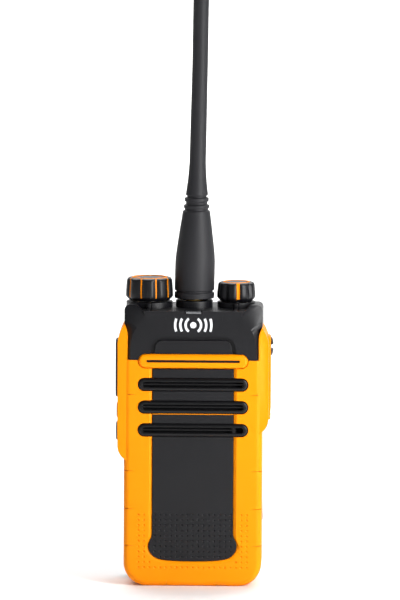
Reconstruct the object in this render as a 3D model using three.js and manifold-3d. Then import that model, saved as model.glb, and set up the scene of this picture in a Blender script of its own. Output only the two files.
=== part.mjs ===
// A compact handheld two-way radio with a screw-on whip antenna, two top knobs, side keys and a rear battery.
// Millimetres. +X is the user's right as they face the radio, +Y is towards the battery, +Z is up.
// The origin is on the flat base, in the middle of the shell's width.
import * as THREE from "three";
import { mergeVertices } from "three/addons/utils/BufferGeometryUtils.js";
import Module from "manifold-3d";

const wasm = await Module();
wasm.setup();

// ---- Driving dimensions ----

const GAP = 0.3; // running and assembly clearance between neighbouring pieces
const SMALL = 10; // sides of a small round part
const ROUND = 16; // sides of a round part
const FINE = 24; // sides of a large round part

// The shell: half width, front face, back edge, joint between orange and black, and walls.
const HALF_WIDTH = 26.7;
const FACE = -17.5;
const SHELL_BACK = 4;
const WAIST = 88;
const WALL = 2;
const FRONT_WALL = 2.5;
const CORNER = 9;
const EDGE = 2.2;

// The head: top of the shoulders, the platform between them, and its back with the ledge over the battery.
const SHOULDER = 109.6;
const PLATFORM = 107.2;
const PLATFORM_HALF = 19.6;
const SHOULDER_RUN = 2.2;
const HEAD_BACK = 16.5;
const LEDGE = 96.2;
const HEAD_EDGE = 5;

// The front panel and its slotted bezels.
const PANEL_HALF = 15.8;
const PANEL_FLARE_HALF = 17.1;
const PANEL_BOTTOM = 9.8;
const PANEL_THICK = 1.2;
const BEZEL_HALF = 21.3;
const BEZEL_PROUD = 0.4;
const TOP_BEZEL = { z: 87.8, height: 5.5, slotHalf: 18.2, slotHeight: 0.8 };
const BEZEL_HEIGHT = 5;
const BEZEL_Z = [78.7, 69.9, 61];
const SLOT_HALF = 19.2;
const SLOT_HEIGHT = 2;
const MIC_X = 18.1;

// The top controls.
const CHANNEL = { x: -17.4, radius: 9.2, base: 110.1, top: 119, lobes: 9, plinth: 9, firstRib: -61 };
const VOLUME = { x: 16.3, radius: 7.55, base: 109.8, top: 117.4, lobes: 9, plinth: 7.4, firstRib: 6.9 };
const PLINTH_TOP = 109.3;
const SHAFT = 2.9;
const BUSHING = 3.9;
const NUT = 5.3;

// The antenna: seat, length and the lean of its flexible whip.
const ANTENNA_SEAT = 110.6;
const ANTENNA_TIP = 271;
const LEAN = Math.tan(THREE.MathUtils.degToRad(1.2));
const RADIATOR = 1;

// The side controls: middle in depth, rail faces, and the keys' places.
const SIDE_Y = -4.2;
const RAIL_HALF_DEPTH = 7.2;
const LEFT_RAIL = 29.9;
const RIGHT_RAIL = 29.2;
const KEY_FLANGE = 0.7;
const KEYS = [
  { name: "ptt_button", low: 72.2, high: 95.4, out: 30.5, width: 8.4, stem: 80 },
  { name: "side_key_1", low: 64.1, high: 70.4, out: 30.1, width: 7, stem: 67.1 },
  { name: "side_key_2", low: 55.4, high: 62.9, out: 30.3, width: 7, stem: 59.2 },
];
const COVER = { low: 64.2, high: 97, inner: 28.3, outer: 30.3, halfDepth: 4.6, screwZ: 92.4 };
const JACKS = [
  { z: 80.5, radius: 1.8 },
  { z: 71.5, radius: 1.3 },
];

// The inside of the shell, front to back.
const SPEAKER = { z: 70, radius: 17, front: -14.3, back: -10.2, magnet: 8 };
const BOARD_FRONT = -6.6;
const BOARD_THICK = 1.2;
const CHASSIS_FRONT = 0.8;
const CHASSIS_BACK = 3.6;
const BOSS_X = 20.3;
const BOSS_Z = [9, 90.7];
const BOSS_RADIUS = 2.1;

// The battery and its latch.
const PACK = { half: 26.2, front: 4.3, back: 17.3, low: 0.3, high: 95.8, wall: 2.2, edge: 3 };
const LIP = { half: 14, top: 1.8, back: 17.2, notch: 4 };
const LATCH = { half: 8, low: 3, high: 16, front: 14.8, back: 17.9, recessTop: 19.6 };

// The belt clip on the battery's back.
const CLIP = { half: 8.5, low: 62, high: 90, back: 19.1, pinY: 23.4, pinZ: 84, outer: 27.2, tip: 31 };

// ---- Solids: three.js geometry in, manifold booleans, three.js geometry out ----

function toSolid(geometry) {
  const loose = geometry.index ? geometry.toNonIndexed() : geometry.clone();
  loose.deleteAttribute("normal");
  loose.deleteAttribute("uv");
  const merged = mergeVertices(loose, 1e-4);
  const vertProperties = merged.attributes.position.array;
  const triVerts = new Uint32Array(merged.index.array);
  return new wasm.Manifold(new wasm.Mesh({ numProp: 3, vertProperties, triVerts }));
}

function toGeometry(solid) {
  const { vertProperties, triVerts } = solid.getMesh();
  const geometry = new THREE.BufferGeometry();
  geometry.setAttribute("position", new THREE.BufferAttribute(vertProperties, 3));
  geometry.setIndex(new THREE.BufferAttribute(triVerts, 1));
  geometry.computeVertexNormals();
  return geometry;
}

function join(first, ...others) {
  return others.reduce((sum, solid) => sum.add(solid), first);
}

function cut(first, ...others) {
  return others.reduce((rest, solid) => rest.subtract(solid), first);
}

function box([x0, y0, z0], [x1, y1, z1]) {
  const geometry = new THREE.BoxGeometry(x1 - x0, y1 - y0, z1 - z0);
  geometry.translate((x0 + x1) / 2, (y0 + y1) / 2, (z0 + z1) / 2);
  return toSolid(geometry);
}

// A round bar along "x", "y" or "z" from one coordinate to another, through the point at.
function bar(axis, radius, from, to, at, sides = ROUND) {
  const geometry = new THREE.CylinderGeometry(radius, radius, to - from, sides);
  geometry.translate(0, (from + to) / 2, 0);
  if (axis === "x") geometry.rotateZ(-Math.PI / 2);
  if (axis === "z") geometry.rotateX(Math.PI / 2);
  geometry.translate(...at);
  return toSolid(geometry);
}

function ring(axis, outer, inner, from, to, at, sides = ROUND) {
  return cut(bar(axis, outer, from, to, at, sides), bar(axis, inner, from - 1, to + 1, at, sides));
}

// A profile of [radius, z] points, closed on itself or on the axis, turned about Z.
function turned(points, sides = ROUND) {
  const geometry = new THREE.LatheGeometry(
    points.map(([r, z]) => new THREE.Vector2(r, z)),
    sides,
  );
  geometry.rotateX(Math.PI / 2);
  return toSolid(geometry);
}

// A front view outline (x, z) given depth from yFront to yBack, with both edges rounded by edge.
function slab(outline, yFront, yBack, edge = 0) {
  const geometry = new THREE.ExtrudeGeometry(outline, {
    depth: yBack - yFront - 2 * edge,
    bevelEnabled: edge > 0,
    bevelThickness: edge,
    bevelSize: edge,
    bevelOffset: -edge,
    bevelSegments: 2,
    curveSegments: 4,
  });
  geometry.rotateX(Math.PI / 2);
  geometry.translate(0, yBack - edge, 0);
  return toSolid(geometry);
}

// A side view outline (y, z) given width from x0 to x1.
function sideSlab(outline, x0, x1) {
  const geometry = new THREE.ExtrudeGeometry(outline, { depth: x1 - x0, bevelEnabled: false, curveSegments: 4 });
  geometry.rotateX(Math.PI / 2);
  geometry.rotateZ(Math.PI / 2);
  geometry.translate(x0, 0, 0);
  return toSolid(geometry);
}

function polygon(points) {
  return new THREE.Shape(points.map(([x, y]) => new THREE.Vector2(x, y)));
}

// A rectangle from (x0, z0) to (x1, z1) with its lower and upper corners rounded.
function roundedRect(x0, z0, x1, z1, lower, upper) {
  const shape = new THREE.Shape();
  shape.moveTo(x0 + lower, z0);
  shape.lineTo(x1 - lower, z0);
  if (lower) shape.absarc(x1 - lower, z0 + lower, lower, -Math.PI / 2, 0);
  shape.lineTo(x1, z1 - upper);
  if (upper) shape.absarc(x1 - upper, z1 - upper, upper, 0, Math.PI / 2);
  shape.lineTo(x0 + upper, z1);
  if (upper) shape.absarc(x0 + upper, z1 - upper, upper, Math.PI / 2, Math.PI);
  shape.lineTo(x0, z0 + lower);
  if (lower) shape.absarc(x0 + lower, z0 + lower, lower, Math.PI, Math.PI * 1.5);
  return shape;
}

function stadium(z, half, height) {
  return roundedRect(-half, z - height / 2, half, z + height / 2, height / 2 - 0.01, height / 2 - 0.01);
}

// ---- Materials ----

function plastic(color, roughness = 0.55) {
  return new THREE.MeshStandardMaterial({ color, roughness, metalness: 0 });
}

function metal(color, roughness = 0.35) {
  return new THREE.MeshStandardMaterial({ color, roughness, metalness: 1 });
}

const ORANGE = plastic(0xff9d0a);
const BLACK = plastic(0x2a2a2e);
const KEY_RUBBER = plastic(0x1d1d20, 0.75);
const CLEAR = plastic(0xc9cdd2, 0.15);
const BOARD_GREEN = plastic(0x1f5a35, 0.5);
const CELL_WRAP = plastic(0x3a6ea8, 0.4);
const CAST_ALUMINIUM = metal(0xb4b6ba, 0.5);
const STEEL = metal(0x9a9da3);
const BRASS = metal(0xc9a14a);
const CLOTH = plastic(0x111113, 0.9);

const radio = new THREE.Group();

function addPiece(name, solid, material, parent = radio) {
  const mesh = new THREE.Mesh(toGeometry(solid), material);
  mesh.name = name;
  parent.add(mesh);
  return mesh;
}

// ---- Shell ----

// The raised rail on one side of the shell that carries keys or the socket cover, drawn on the left (-X) side.
function railOutline(outer, low, high) {
  return polygon([
    [-HALF_WIDTH + 1, low - 3],
    [-outer, low + 3],
    [-outer, high - 9],
    [-outer + 0.4, high - 6],
    [-HALF_WIDTH - 0.6, high],
    [-HALF_WIDTH - GAP, high],
    [-HALF_WIDTH - GAP, WAIST],
    [-HALF_WIDTH + 1, WAIST],
  ]);
}

function rail(outer, low, high) {
  const front = SIDE_Y - RAIL_HALF_DEPTH;
  const back = SIDE_Y + RAIL_HALF_DEPTH;
  return slab(railOutline(outer, low, high), front, back);
}

// Pockets for one side key: its opening through the rail, a wider seat for its flange, and its stem's way in.
function keyPocket({ low, high, width, stem }) {
  const half = width / 2 + GAP;
  const seat = half + KEY_FLANGE;
  const lip = -LEFT_RAIL + 1;
  return join(
    box([-LEFT_RAIL - 2, SIDE_Y - half, low - GAP], [lip + 0.1, SIDE_Y + half, high + GAP]),
    box(
      [lip, SIDE_Y - seat, low - GAP - KEY_FLANGE],
      [-HALF_WIDTH - GAP, SIDE_Y + seat, high + GAP + KEY_FLANGE],
    ),
    bar("x", 2.2, -HALF_WIDTH - 1, -HALF_WIDTH + 3, [0, SIDE_Y, stem], SMALL),
  );
}

function panelRecess(clearance) {
  const column = new THREE.Shape();
  const half = PANEL_HALF + clearance;
  const flare = PANEL_FLARE_HALF + clearance;
  const bottom = PANEL_BOTTOM - clearance;
  const top = TOP_BEZEL.z - TOP_BEZEL.height / 2 - GAP + clearance;
  column.moveTo(-half, top);
  column.lineTo(-half, bottom + 11);
  column.quadraticCurveTo(-half, bottom + 8, -flare, bottom + 6);
  column.quadraticCurveTo(-flare + 0.4, bottom + 0.6, -flare + 4, bottom + 0.5);
  column.quadraticCurveTo(0, bottom - 0.5, flare - 4, bottom + 0.5);
  column.quadraticCurveTo(flare - 0.4, bottom + 0.6, flare, bottom + 6);
  column.quadraticCurveTo(half, bottom + 8, half, bottom + 11);
  column.lineTo(half, top);
  return column;
}

// The front panel's solid, grown by clearance when it is the recess that takes the panel.
function panelBlock(front, back, clearance) {
  const bezels = BEZEL_Z.map((z) =>
    slab(stadium(z, BEZEL_HALF + clearance, BEZEL_HEIGHT + 2 * clearance), front, back),
  );
  return join(slab(panelRecess(clearance), front, back), ...bezels);
}

function topBezelBlock(front, back, clearance) {
  return slab(stadium(TOP_BEZEL.z, BEZEL_HALF + clearance, TOP_BEZEL.height + 2 * clearance), front, back);
}

function orangeHousing() {
  const outline = roundedRect(-HALF_WIDTH, 0, HALF_WIDTH, WAIST + EDGE * 2, CORNER, 0);
  const hollow = roundedRect(-HALF_WIDTH + WALL, WALL, HALF_WIDTH - WALL, WAIST + 9, CORNER - WALL, 0);
  const shell = cut(
    slab(outline, FACE, SHELL_BACK + EDGE, EDGE),
    slab(hollow, FACE + FRONT_WALL, SHELL_BACK + 9),
    box([-40, SHELL_BACK, -1], [40, SHELL_BACK + 9, 120]),
    box([-40, -40, WAIST], [40, 40, 120]),
  );
  const rightRail = toSolid(
    toGeometry(rail(RIGHT_RAIL, 62.5, 100.8)).rotateZ(Math.PI).translate(0, 2 * SIDE_Y, 0),
  );
  const lip = box([-LIP.half, 0, 0], [LIP.half, LIP.back, LIP.top]);
  const bosses = [-BOSS_X, BOSS_X].map((x) =>
    cut(
      bar("y", BOSS_RADIUS, FACE + 1, CHASSIS_FRONT - GAP, [x, 0, BOSS_Z[0]], SMALL),
      bar("y", 1.1, FACE + 4, CHASSIS_FRONT, [x, 0, BOSS_Z[0]], SMALL),
    ),
  );
  const solid = join(shell, rail(LEFT_RAIL, 51.8, 101.9), rightRail, lip, ...bosses);
  const socketWindow = box(
    [HALF_WIDTH - 3, SIDE_Y - 3.6, 66.2],
    [RIGHT_RAIL + 1, SIDE_Y + 3.6, 86.3],
  );
  return cut(
    solid,
    panelBlock(FACE - 1, FACE + PANEL_THICK + GAP, GAP),
    topBezelBlock(FACE - 1, FACE + PANEL_THICK + 2 * GAP, GAP),
    box([-SLOT_HALF, FACE, 56.5], [SLOT_HALF, FACE + 4, 83]),
    bar("y", 2.2, FACE, FACE + 4, [MIC_X, 0, BEZEL_Z[2]], SMALL),
    ...KEYS.map(keyPocket),
    box(
      [-HALF_WIDTH - 1, SIDE_Y - 4.9, 54.2],
      [-HALF_WIDTH + WALL + 0.5, SIDE_Y + 4.9, 84.3],
    ),
    coverPocket(),
    socketWindow,
    box([-LIP.notch, PACK.back - 2.1, -1], [LIP.notch, LIP.back + 1, LIP.top + 1]),
  );
}

// The seat of the accessory cover in the right rail, with its pivot holes and the screw's way in.
function coverPocket() {
  const pivotZ = COVER.low + 1;
  const pivotX = (COVER.inner + COVER.outer) / 2;
  const half = COVER.halfDepth + GAP;
  return join(
    box([COVER.inner - GAP, SIDE_Y - half, COVER.low - GAP], [40, SIDE_Y + half, COVER.high + GAP]),
    bar("y", 0.8, SIDE_Y - half - 1.2, SIDE_Y + half + 1.2, [pivotX, 0, pivotZ], SMALL),
    bar("x", 2, HALF_WIDTH - 4, COVER.inner, [0, SIDE_Y, COVER.screwZ], SMALL),
  );
}

function headOutline(inset, low) {
  const half = HALF_WIDTH - inset;
  const round = 2;
  const shape = new THREE.Shape();
  shape.moveTo(-half, low);
  shape.lineTo(half, low);
  shape.lineTo(half, SHOULDER - round);
  shape.quadraticCurveTo(half, SHOULDER, half - round, SHOULDER);
  shape.lineTo(PLATFORM_HALF + SHOULDER_RUN, SHOULDER);
  shape.bezierCurveTo(
    PLATFORM_HALF + SHOULDER_RUN * 0.4,
    SHOULDER,
    PLATFORM_HALF + SHOULDER_RUN * 0.6,
    PLATFORM,
    PLATFORM_HALF,
    PLATFORM,
  );
  shape.lineTo(-PLATFORM_HALF, PLATFORM);
  shape.bezierCurveTo(
    -PLATFORM_HALF - SHOULDER_RUN * 0.6,
    PLATFORM,
    -PLATFORM_HALF - SHOULDER_RUN * 0.4,
    SHOULDER,
    -PLATFORM_HALF - SHOULDER_RUN,
    SHOULDER,
  );
  shape.lineTo(-half + round, SHOULDER);
  shape.quadraticCurveTo(-half, SHOULDER, -half, SHOULDER - round);
  return shape;
}

function headHousing() {
  const side = new THREE.Shape();
  side.moveTo(FACE, WAIST + GAP);
  side.lineTo(SHELL_BACK, WAIST + GAP);
  side.lineTo(SHELL_BACK, LEDGE);
  side.lineTo(HEAD_BACK, LEDGE);
  side.lineTo(HEAD_BACK, SHOULDER - HEAD_EDGE);
  side.absarc(HEAD_BACK - HEAD_EDGE, SHOULDER - HEAD_EDGE, HEAD_EDGE, 0, Math.PI / 2);
  side.lineTo(FACE + 1, SHOULDER);
  side.lineTo(FACE, SHOULDER - 1);
  const block = slab(headOutline(0, WAIST - 5), FACE, HEAD_BACK, 1).intersect(
    sideSlab(side, -HALF_WIDTH, HALF_WIDTH),
  );
  const ceiling = PLATFORM - WALL;
  const floor = LEDGE + WALL;
  const inside = polygon([
    [FACE + FRONT_WALL, WAIST - 8],
    [SHELL_BACK + GAP, WAIST - 8],
    [SHELL_BACK + GAP, floor],
    [HEAD_BACK - WALL, floor],
    [HEAD_BACK - WALL, SHOULDER - HEAD_EDGE],
    [HEAD_BACK - HEAD_EDGE, ceiling],
    [FACE + FRONT_WALL, ceiling],
  ]);
  const hollow = sideSlab(inside, -HALF_WIDTH + WALL, HALF_WIDTH - WALL);
  const plinths = [CHANNEL, VOLUME].map(({ x, plinth }) =>
    join(
      bar("z", plinth, PLATFORM - 1, PLINTH_TOP, [x, 0, 0], FINE),
      box([x - 0.9, -plinth - 1.6, PLATFORM - 1], [x + 0.9, 0, PLINTH_TOP]),
    ),
  );
  const collar = bar("z", 7.2, PLATFORM - 1, PLINTH_TOP + 0.5, [0, 0, 0], FINE);
  const bosses = [-BOSS_X, BOSS_X].map((x) =>
    cut(
      bar("y", BOSS_RADIUS, FACE + 1, CHASSIS_FRONT - GAP, [x, 0, BOSS_Z[1]], SMALL),
      bar("y", 1.1, FACE + 4, CHASSIS_FRONT, [x, 0, BOSS_Z[1]], SMALL),
    ),
  );
  return cut(
    join(cut(block, hollow), ...plinths, collar, ...bosses),
    topBezelBlock(FACE - 1, FACE + PANEL_THICK + 2 * GAP, GAP),
    ...[CHANNEL, VOLUME].flatMap(({ x }) => [
      bar("z", BUSHING + GAP, ceiling - 1, PLINTH_TOP + 1, [x, 0, 0]),
      bar("z", NUT + GAP * 2, PLATFORM + 0.3, PLINTH_TOP + 1, [x, 0, 0]),
    ]),
    bar("z", 3.5, ceiling - 1, PLATFORM + 4, [0, 0, 0]),
    bar("z", 5.5, PLATFORM + 0.3, PLATFORM + 4, [0, 0, 0]),
    bar("x", 2, HALF_WIDTH - 4, HALF_WIDTH + 1, [0, SIDE_Y, COVER.screwZ], SMALL),
    polygonNotch(),
  );
}

// The tapered notch in the platform's front edge that shows the status lens.
function polygonNotch() {
  const notch = polygon([
    [-2.8, PLATFORM - 1.6],
    [2.8, PLATFORM - 1.6],
    [3.7, PLATFORM + 0.1],
    [3.7, PLATFORM + 1],
    [-3.7, PLATFORM + 1],
    [-3.7, PLATFORM + 0.1],
  ]);
  return slab(notch, FACE - 1, FACE + 3.4);
}

function grillePanel() {
  const back = FACE + PANEL_THICK;
  const face = slab(panelRecess(0), FACE, back);
  const bezels = BEZEL_Z.map((z) => slab(stadium(z, BEZEL_HALF, BEZEL_HEIGHT), FACE - BEZEL_PROUD, back));
  const slots = BEZEL_Z.map((z) => slab(stadium(z, SLOT_HALF, SLOT_HEIGHT), FACE - 1, back + 1));
  const bridge = box([15.4, FACE, BEZEL_Z[2] - 1.5], [16.4, back, BEZEL_Z[2] + 1.5]);
  return join(cut(join(face, ...bezels), ...slots), bridge);
}

function topSlotBezel() {
  const back = FACE + PANEL_THICK + GAP;
  const slot = slab(stadium(TOP_BEZEL.z, TOP_BEZEL.slotHalf, TOP_BEZEL.slotHeight), FACE - 1, back - 0.6);
  return cut(topBezelBlock(FACE - BEZEL_PROUD, back, 0), slot);
}

function ledLens() {
  return join(
    box([-2.4, FACE + 0.2, PLATFORM - 1.3], [2.4, FACE + 3, PLATFORM - 0.4]),
    box([-2.1, FACE + 1.5, PLATFORM - 1.3], [2.1, FACE + 3, PLATFORM - 0.1]),
  );
}

addPiece("orange_housing", orangeHousing(), ORANGE);
addPiece("head_housing", headHousing(), BLACK);
addPiece("grille_panel", grillePanel(), BLACK);
addPiece("top_slot_bezel", topSlotBezel(), ORANGE);
addPiece("led_lens", ledLens(), CLEAR);

// ---- Speaker and microphone, behind the grille ----

const speaker = new THREE.Group();
speaker.position.set(0, SPEAKER.front, SPEAKER.z);
speaker.rotation.x = -Math.PI / 2; // local +Z points to the back of the radio
radio.add(speaker);

const SPEAKER_DEPTH = SPEAKER.back - SPEAKER.front;

// Thin pressed basket with its rim at the front and a hole for the magnet at the back.
const basket = turned([
  [13.6, 0],
  [SPEAKER.radius, 0],
  [SPEAKER.radius, 1],
  [SPEAKER.magnet + 1.6, SPEAKER_DEPTH],
  [5, SPEAKER_DEPTH],
  [5, SPEAKER_DEPTH - 0.8],
  [SPEAKER.magnet + 1, SPEAKER_DEPTH - 0.8],
  [13.6, 0.9],
  [13.6, 0],
]);
addPiece("speaker_basket", basket, STEEL, speaker);
const cone = turned([
  [0, 0.4],
  [4, 0.8],
  [12.9, 0.1],
  [12.9, 0.5],
  [4, 1.2],
  [0, 0.9],
  [0, 0.4],
]);
addPiece("speaker_cone", cone, CLOTH, speaker);
const magnet = bar("z", SPEAKER.magnet, SPEAKER_DEPTH + GAP, SPEAKER_DEPTH + 2.8, [0, 0, 0]);
addPiece("speaker_magnet", magnet, STEEL, speaker);
const cloth = box([-19.6, FACE + FRONT_WALL + GAP, 55.8], [16, FACE + FRONT_WALL + 0.5, 83.6]);
addPiece("speaker_cloth", cloth, CLOTH);

const microphoneSeat = new THREE.Group();
microphoneSeat.position.set(MIC_X + 1.6, FACE + FRONT_WALL + GAP, BEZEL_Z[2] - 1.6);
microphoneSeat.rotation.x = -Math.PI / 2;
radio.add(microphoneSeat);
const boot = cut(
  bar("z", 2.7, 0, 3.4, [0, 0, 0], ROUND),
  bar("z", 2.05, 0.5, 4, [0, 0, 0], ROUND),
  bar("z", 0.6, -1, 1, [0, 0, 0], SMALL),
);
addPiece("microphone_boot", boot, KEY_RUBBER, microphoneSeat);
addPiece("microphone", bar("z", 1.75, 0.8, 2.8, [0, 0, 0], ROUND), STEEL, microphoneSeat);

// ---- Chassis, seal, boards and screws ----

function chassis() {
  const half = HALF_WIDTH - WALL - GAP;
  const top = LEDGE - GAP * 2;
  const plate = slab(roundedRect(-half, WALL + GAP, half, top, CORNER - WALL, 0), CHASSIS_FRONT, CHASSIS_BACK);
  const ribs = [-10, 0, 10].map((x) =>
    box([x - 0.6, CHASSIS_FRONT - 1.6, 14], [x + 0.6, CHASSIS_FRONT + 0.1, 55]),
  );
  const screwHoles = BOSS_Z.flatMap((z) =>
    [-BOSS_X, BOSS_X].flatMap((x) => [
      bar("y", 1.6, -2, 6, [x, 0, z], SMALL),
      bar("y", 2.6, CHASSIS_BACK - 1.4, 6, [x, 0, z], SMALL),
    ]),
  );
  const tabHoles = [-12, 12].map((x) => box([x - 2.8, -2, 88.9], [x + 2.8, 6, 92.1]));
  const contactHole = box([-9.4, -2, 23.6], [9.4, 6, 31.4]);
  const lipNotch = box([-LIP.half - 1, -2, -1], [LIP.half + 1, 6, LIP.top + 1]);
  return cut(join(plate, ...ribs), ...screwHoles, ...tabHoles, contactHole, lipNotch);
}

function perimeterSeal() {
  const half = HALF_WIDTH - WALL - GAP - 0.1;
  const top = LEDGE - 2;
  const low = WALL + GAP + 0.7;
  const outer = slab(roundedRect(-half, low, half, top, CORNER - 3, 1), CHASSIS_FRONT - 1.2, CHASSIS_FRONT - GAP);
  const inner = slab(
    roundedRect(-half + 1.1, low + 1.1, half - 1.1, top - 1.1, CORNER - 4, 1),
    CHASSIS_FRONT - 3,
    CHASSIS_FRONT,
  );
  return cut(outer, inner);
}

function mainBoard() {
  const boardBack = BOARD_FRONT + BOARD_THICK;
  const plate = box([-17.6, BOARD_FRONT, 6], [17.6, boardBack, 86]);
  const processor = box([-6, boardBack - 0.1, 58], [6, boardBack + 1.2, 70]);
  const amplifier = box([-12, boardBack - 0.1, 74], [-4, boardBack + 1.4, 82]);
  return join(plate, processor, amplifier);
}

function rfShield() {
  const front = BOARD_FRONT + BOARD_THICK + GAP;
  return cut(box([-15, front, 14], [15, -2.9, 50]), box([-14.6, front - 1, 14.4], [14.6, -3.3, 49.6]));
}

// A pan-head screw along -Y with its head at y = 0 and a cross recess.
function screwSolid(headRadius, headHeight, shankRadius, shankLength) {
  const body = turned(
    [
      [0, -shankLength],
      [shankRadius, -shankLength + 0.4],
      [shankRadius, 0],
      [headRadius, 0],
      [headRadius, headHeight * 0.6],
      [headRadius * 0.7, headHeight],
      [0, headHeight],
    ],
    SMALL,
  );
  const bit = headRadius * 0.6;
  const recess = join(
    box([-bit, -0.25, headHeight * 0.4], [bit, 0.25, headHeight + 1]),
    box([-0.25, -bit, headHeight * 0.4], [0.25, bit, headHeight + 1]),
  );
  return cut(body, recess);
}

function addScrew(name, solid, x, y, z, parent = radio) {
  const screw = addPiece(name, solid, STEEL, parent);
  screw.position.set(x, y, z);
  screw.rotation.x = -Math.PI / 2; // its head points to +Y
}

addPiece("chassis", chassis(), CAST_ALUMINIUM);
addPiece("perimeter_seal", perimeterSeal(), KEY_RUBBER);
addPiece("main_board", mainBoard(), BOARD_GREEN);
addPiece("rf_shield", rfShield(), STEEL);
BOSS_Z.forEach((z, row) =>
  [-BOSS_X, BOSS_X].forEach((x, column) => {
    const name = `chassis_screw_${row * 2 + column + 1}`;
    addScrew(name, screwSolid(2.2, 1, 0.8, 5), x, CHASSIS_BACK - 1.1, z);
  }),
);

// ---- Encoder, volume switch and knobs ----

// A rotary control: square body under the head's top wall, threaded bushing through it, hollow for the shaft.
function rotaryBody(size, height) {
  const top = PLATFORM - WALL - GAP;
  return cut(
    join(
      box([-size / 2, -size / 2, top - height], [size / 2, size / 2, top]),
      bar("z", BUSHING, top - 0.1, PLINTH_TOP, [0, 0, 0]),
    ),
    bar("z", SHAFT + GAP, top - height + 1, PLINTH_TOP + 1, [0, 0, 0]),
  );
}

function hexNut() {
  return ringNut(NUT, BUSHING + GAP, PLATFORM + 0.6, PLINTH_TOP - 0.1);
}

function ringNut(outer, inner, from, to) {
  return cut(bar("z", outer, from, to, [0, 0, 0], 6), bar("z", inner, from - 1, to + 1, [0, 0, 0]));
}

// The knob's outline: rounded lobes that meet in shallow valleys at the ribs.
function lobedOutline(radius, lobes, firstRib) {
  const steps = lobes * 6;
  const points = [];
  for (let i = 0; i < steps; i += 1) {
    const angle = (i / steps) * Math.PI * 2;
    const phase = (angle * lobes) / 2;
    const valley = Math.pow(Math.abs(Math.cos(phase)), 6) * 0.5;
    const turn = angle + THREE.MathUtils.degToRad(firstRib - 90);
    points.push([(radius - valley) * Math.cos(turn), (radius - valley) * Math.sin(turn)]);
  }
  return polygon(points);
}

function upright(outline, from, to, edge) {
  const geometry = new THREE.ExtrudeGeometry(outline, {
    depth: to - from - 2 * edge,
    bevelEnabled: edge > 0,
    bevelThickness: edge,
    bevelSize: edge,
    bevelOffset: -edge,
    bevelSegments: 1,
  });
  geometry.translate(0, 0, from + edge);
  return toSolid(geometry);
}

// The ribs of the orange core that show in the valleys of the skirt, grown by clearance for the skirt's slots.
function knobRibs({ radius, base, top, firstRib }, count, width, low) {
  const ribs = [];
  for (let i = 0; i < count; i += 1) {
    const rib = new THREE.BoxGeometry(width, radius * 0.5, top - base - low);
    rib.translate(0, -radius * 0.73, (top + base + low) / 2);
    rib.rotateZ(THREE.MathUtils.degToRad(firstRib + (i * 360) / 9));
    ribs.push(toSolid(rib));
  }
  return ribs;
}

function addKnob(name, spec, ribCount, ribWidth) {
  const knob = new THREE.Group();
  knob.position.x = spec.x;
  radio.add(knob);
  const { radius, base, top, lobes, firstRib } = spec;
  const coreRadius = radius - 1.4;
  const skirt = cut(
    upright(lobedOutline(radius, lobes, firstRib), base, top - 0.8, 0.6),
    bar("z", coreRadius + GAP, base + 0.9, top + 1, [0, 0, 0], FINE),
    bar("z", coreRadius - 0.6, base - 1, base + 2, [0, 0, 0], FINE),
    ...knobRibs(spec, ribCount, ribWidth + 2 * GAP, 1.2),
  );
  addPiece(name, skirt, BLACK, knob);
  const boreTop = top - 2;
  const core = join(
    bar("z", coreRadius, base + 1.2, top - 0.5, [0, 0, 0], FINE),
    bar("z", coreRadius + 0.9, top - 0.5, top - 0.1, [0, 0, 0], FINE),
    ...knobRibs({ ...spec, top: top - 0.2 }, ribCount, ribWidth, 1.6),
  );
  const hollowCore = cut(
    core,
    bar("z", SHAFT + 0.1, base, boreTop, [0, 0, 0]),
    bar("z", coreRadius - 0.5, top - 0.9, top + 1, [0, 0, 0], FINE),
  );
  addPiece(`${name}_core`, hollowCore, ORANGE, knob);
  addPiece(`${name}_disc`, bar("z", coreRadius - 0.9, top - 0.6, top - 0.1, [0, 0, 0], FINE), BLACK, knob);
  return knob;
}

const channelKnob = addKnob("channel_knob", CHANNEL, 9, 0.5);
const volumeKnob = addKnob("volume_knob", VOLUME, 1, 1.3);
addPiece("channel_shaft", bar("z", SHAFT, 101, CHANNEL.top - 2.3, [0, 0, 0]), STEEL, channelKnob);
addPiece("volume_shaft", bar("z", SHAFT, 101, VOLUME.top - 2.3, [0, 0, 0]), STEEL, volumeKnob);
const channelEncoder = addPiece("channel_encoder", rotaryBody(12, 6), STEEL);
channelEncoder.position.x = CHANNEL.x;
const volumeSwitch = addPiece("volume_switch", rotaryBody(10, 6.4), STEEL);
volumeSwitch.position.x = VOLUME.x;
addPiece("channel_nut", hexNut(), BRASS).position.x = CHANNEL.x;
addPiece("volume_nut", hexNut(), BRASS).position.x = VOLUME.x;

// ---- Antenna ----

// The whip is flexible: above its foot it leans a little to the right.
function leanOver(solid) {
  const geometry = toGeometry(solid);
  const place = geometry.attributes.position;
  const foot = ANTENNA_SEAT + 2.5;
  for (let i = 0; i < place.count; i += 1) {
    const rise = Math.max(0, place.getZ(i) - foot);
    place.setX(i, place.getX(i) + rise * LEAN);
  }
  return toSolid(geometry);
}

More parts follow.
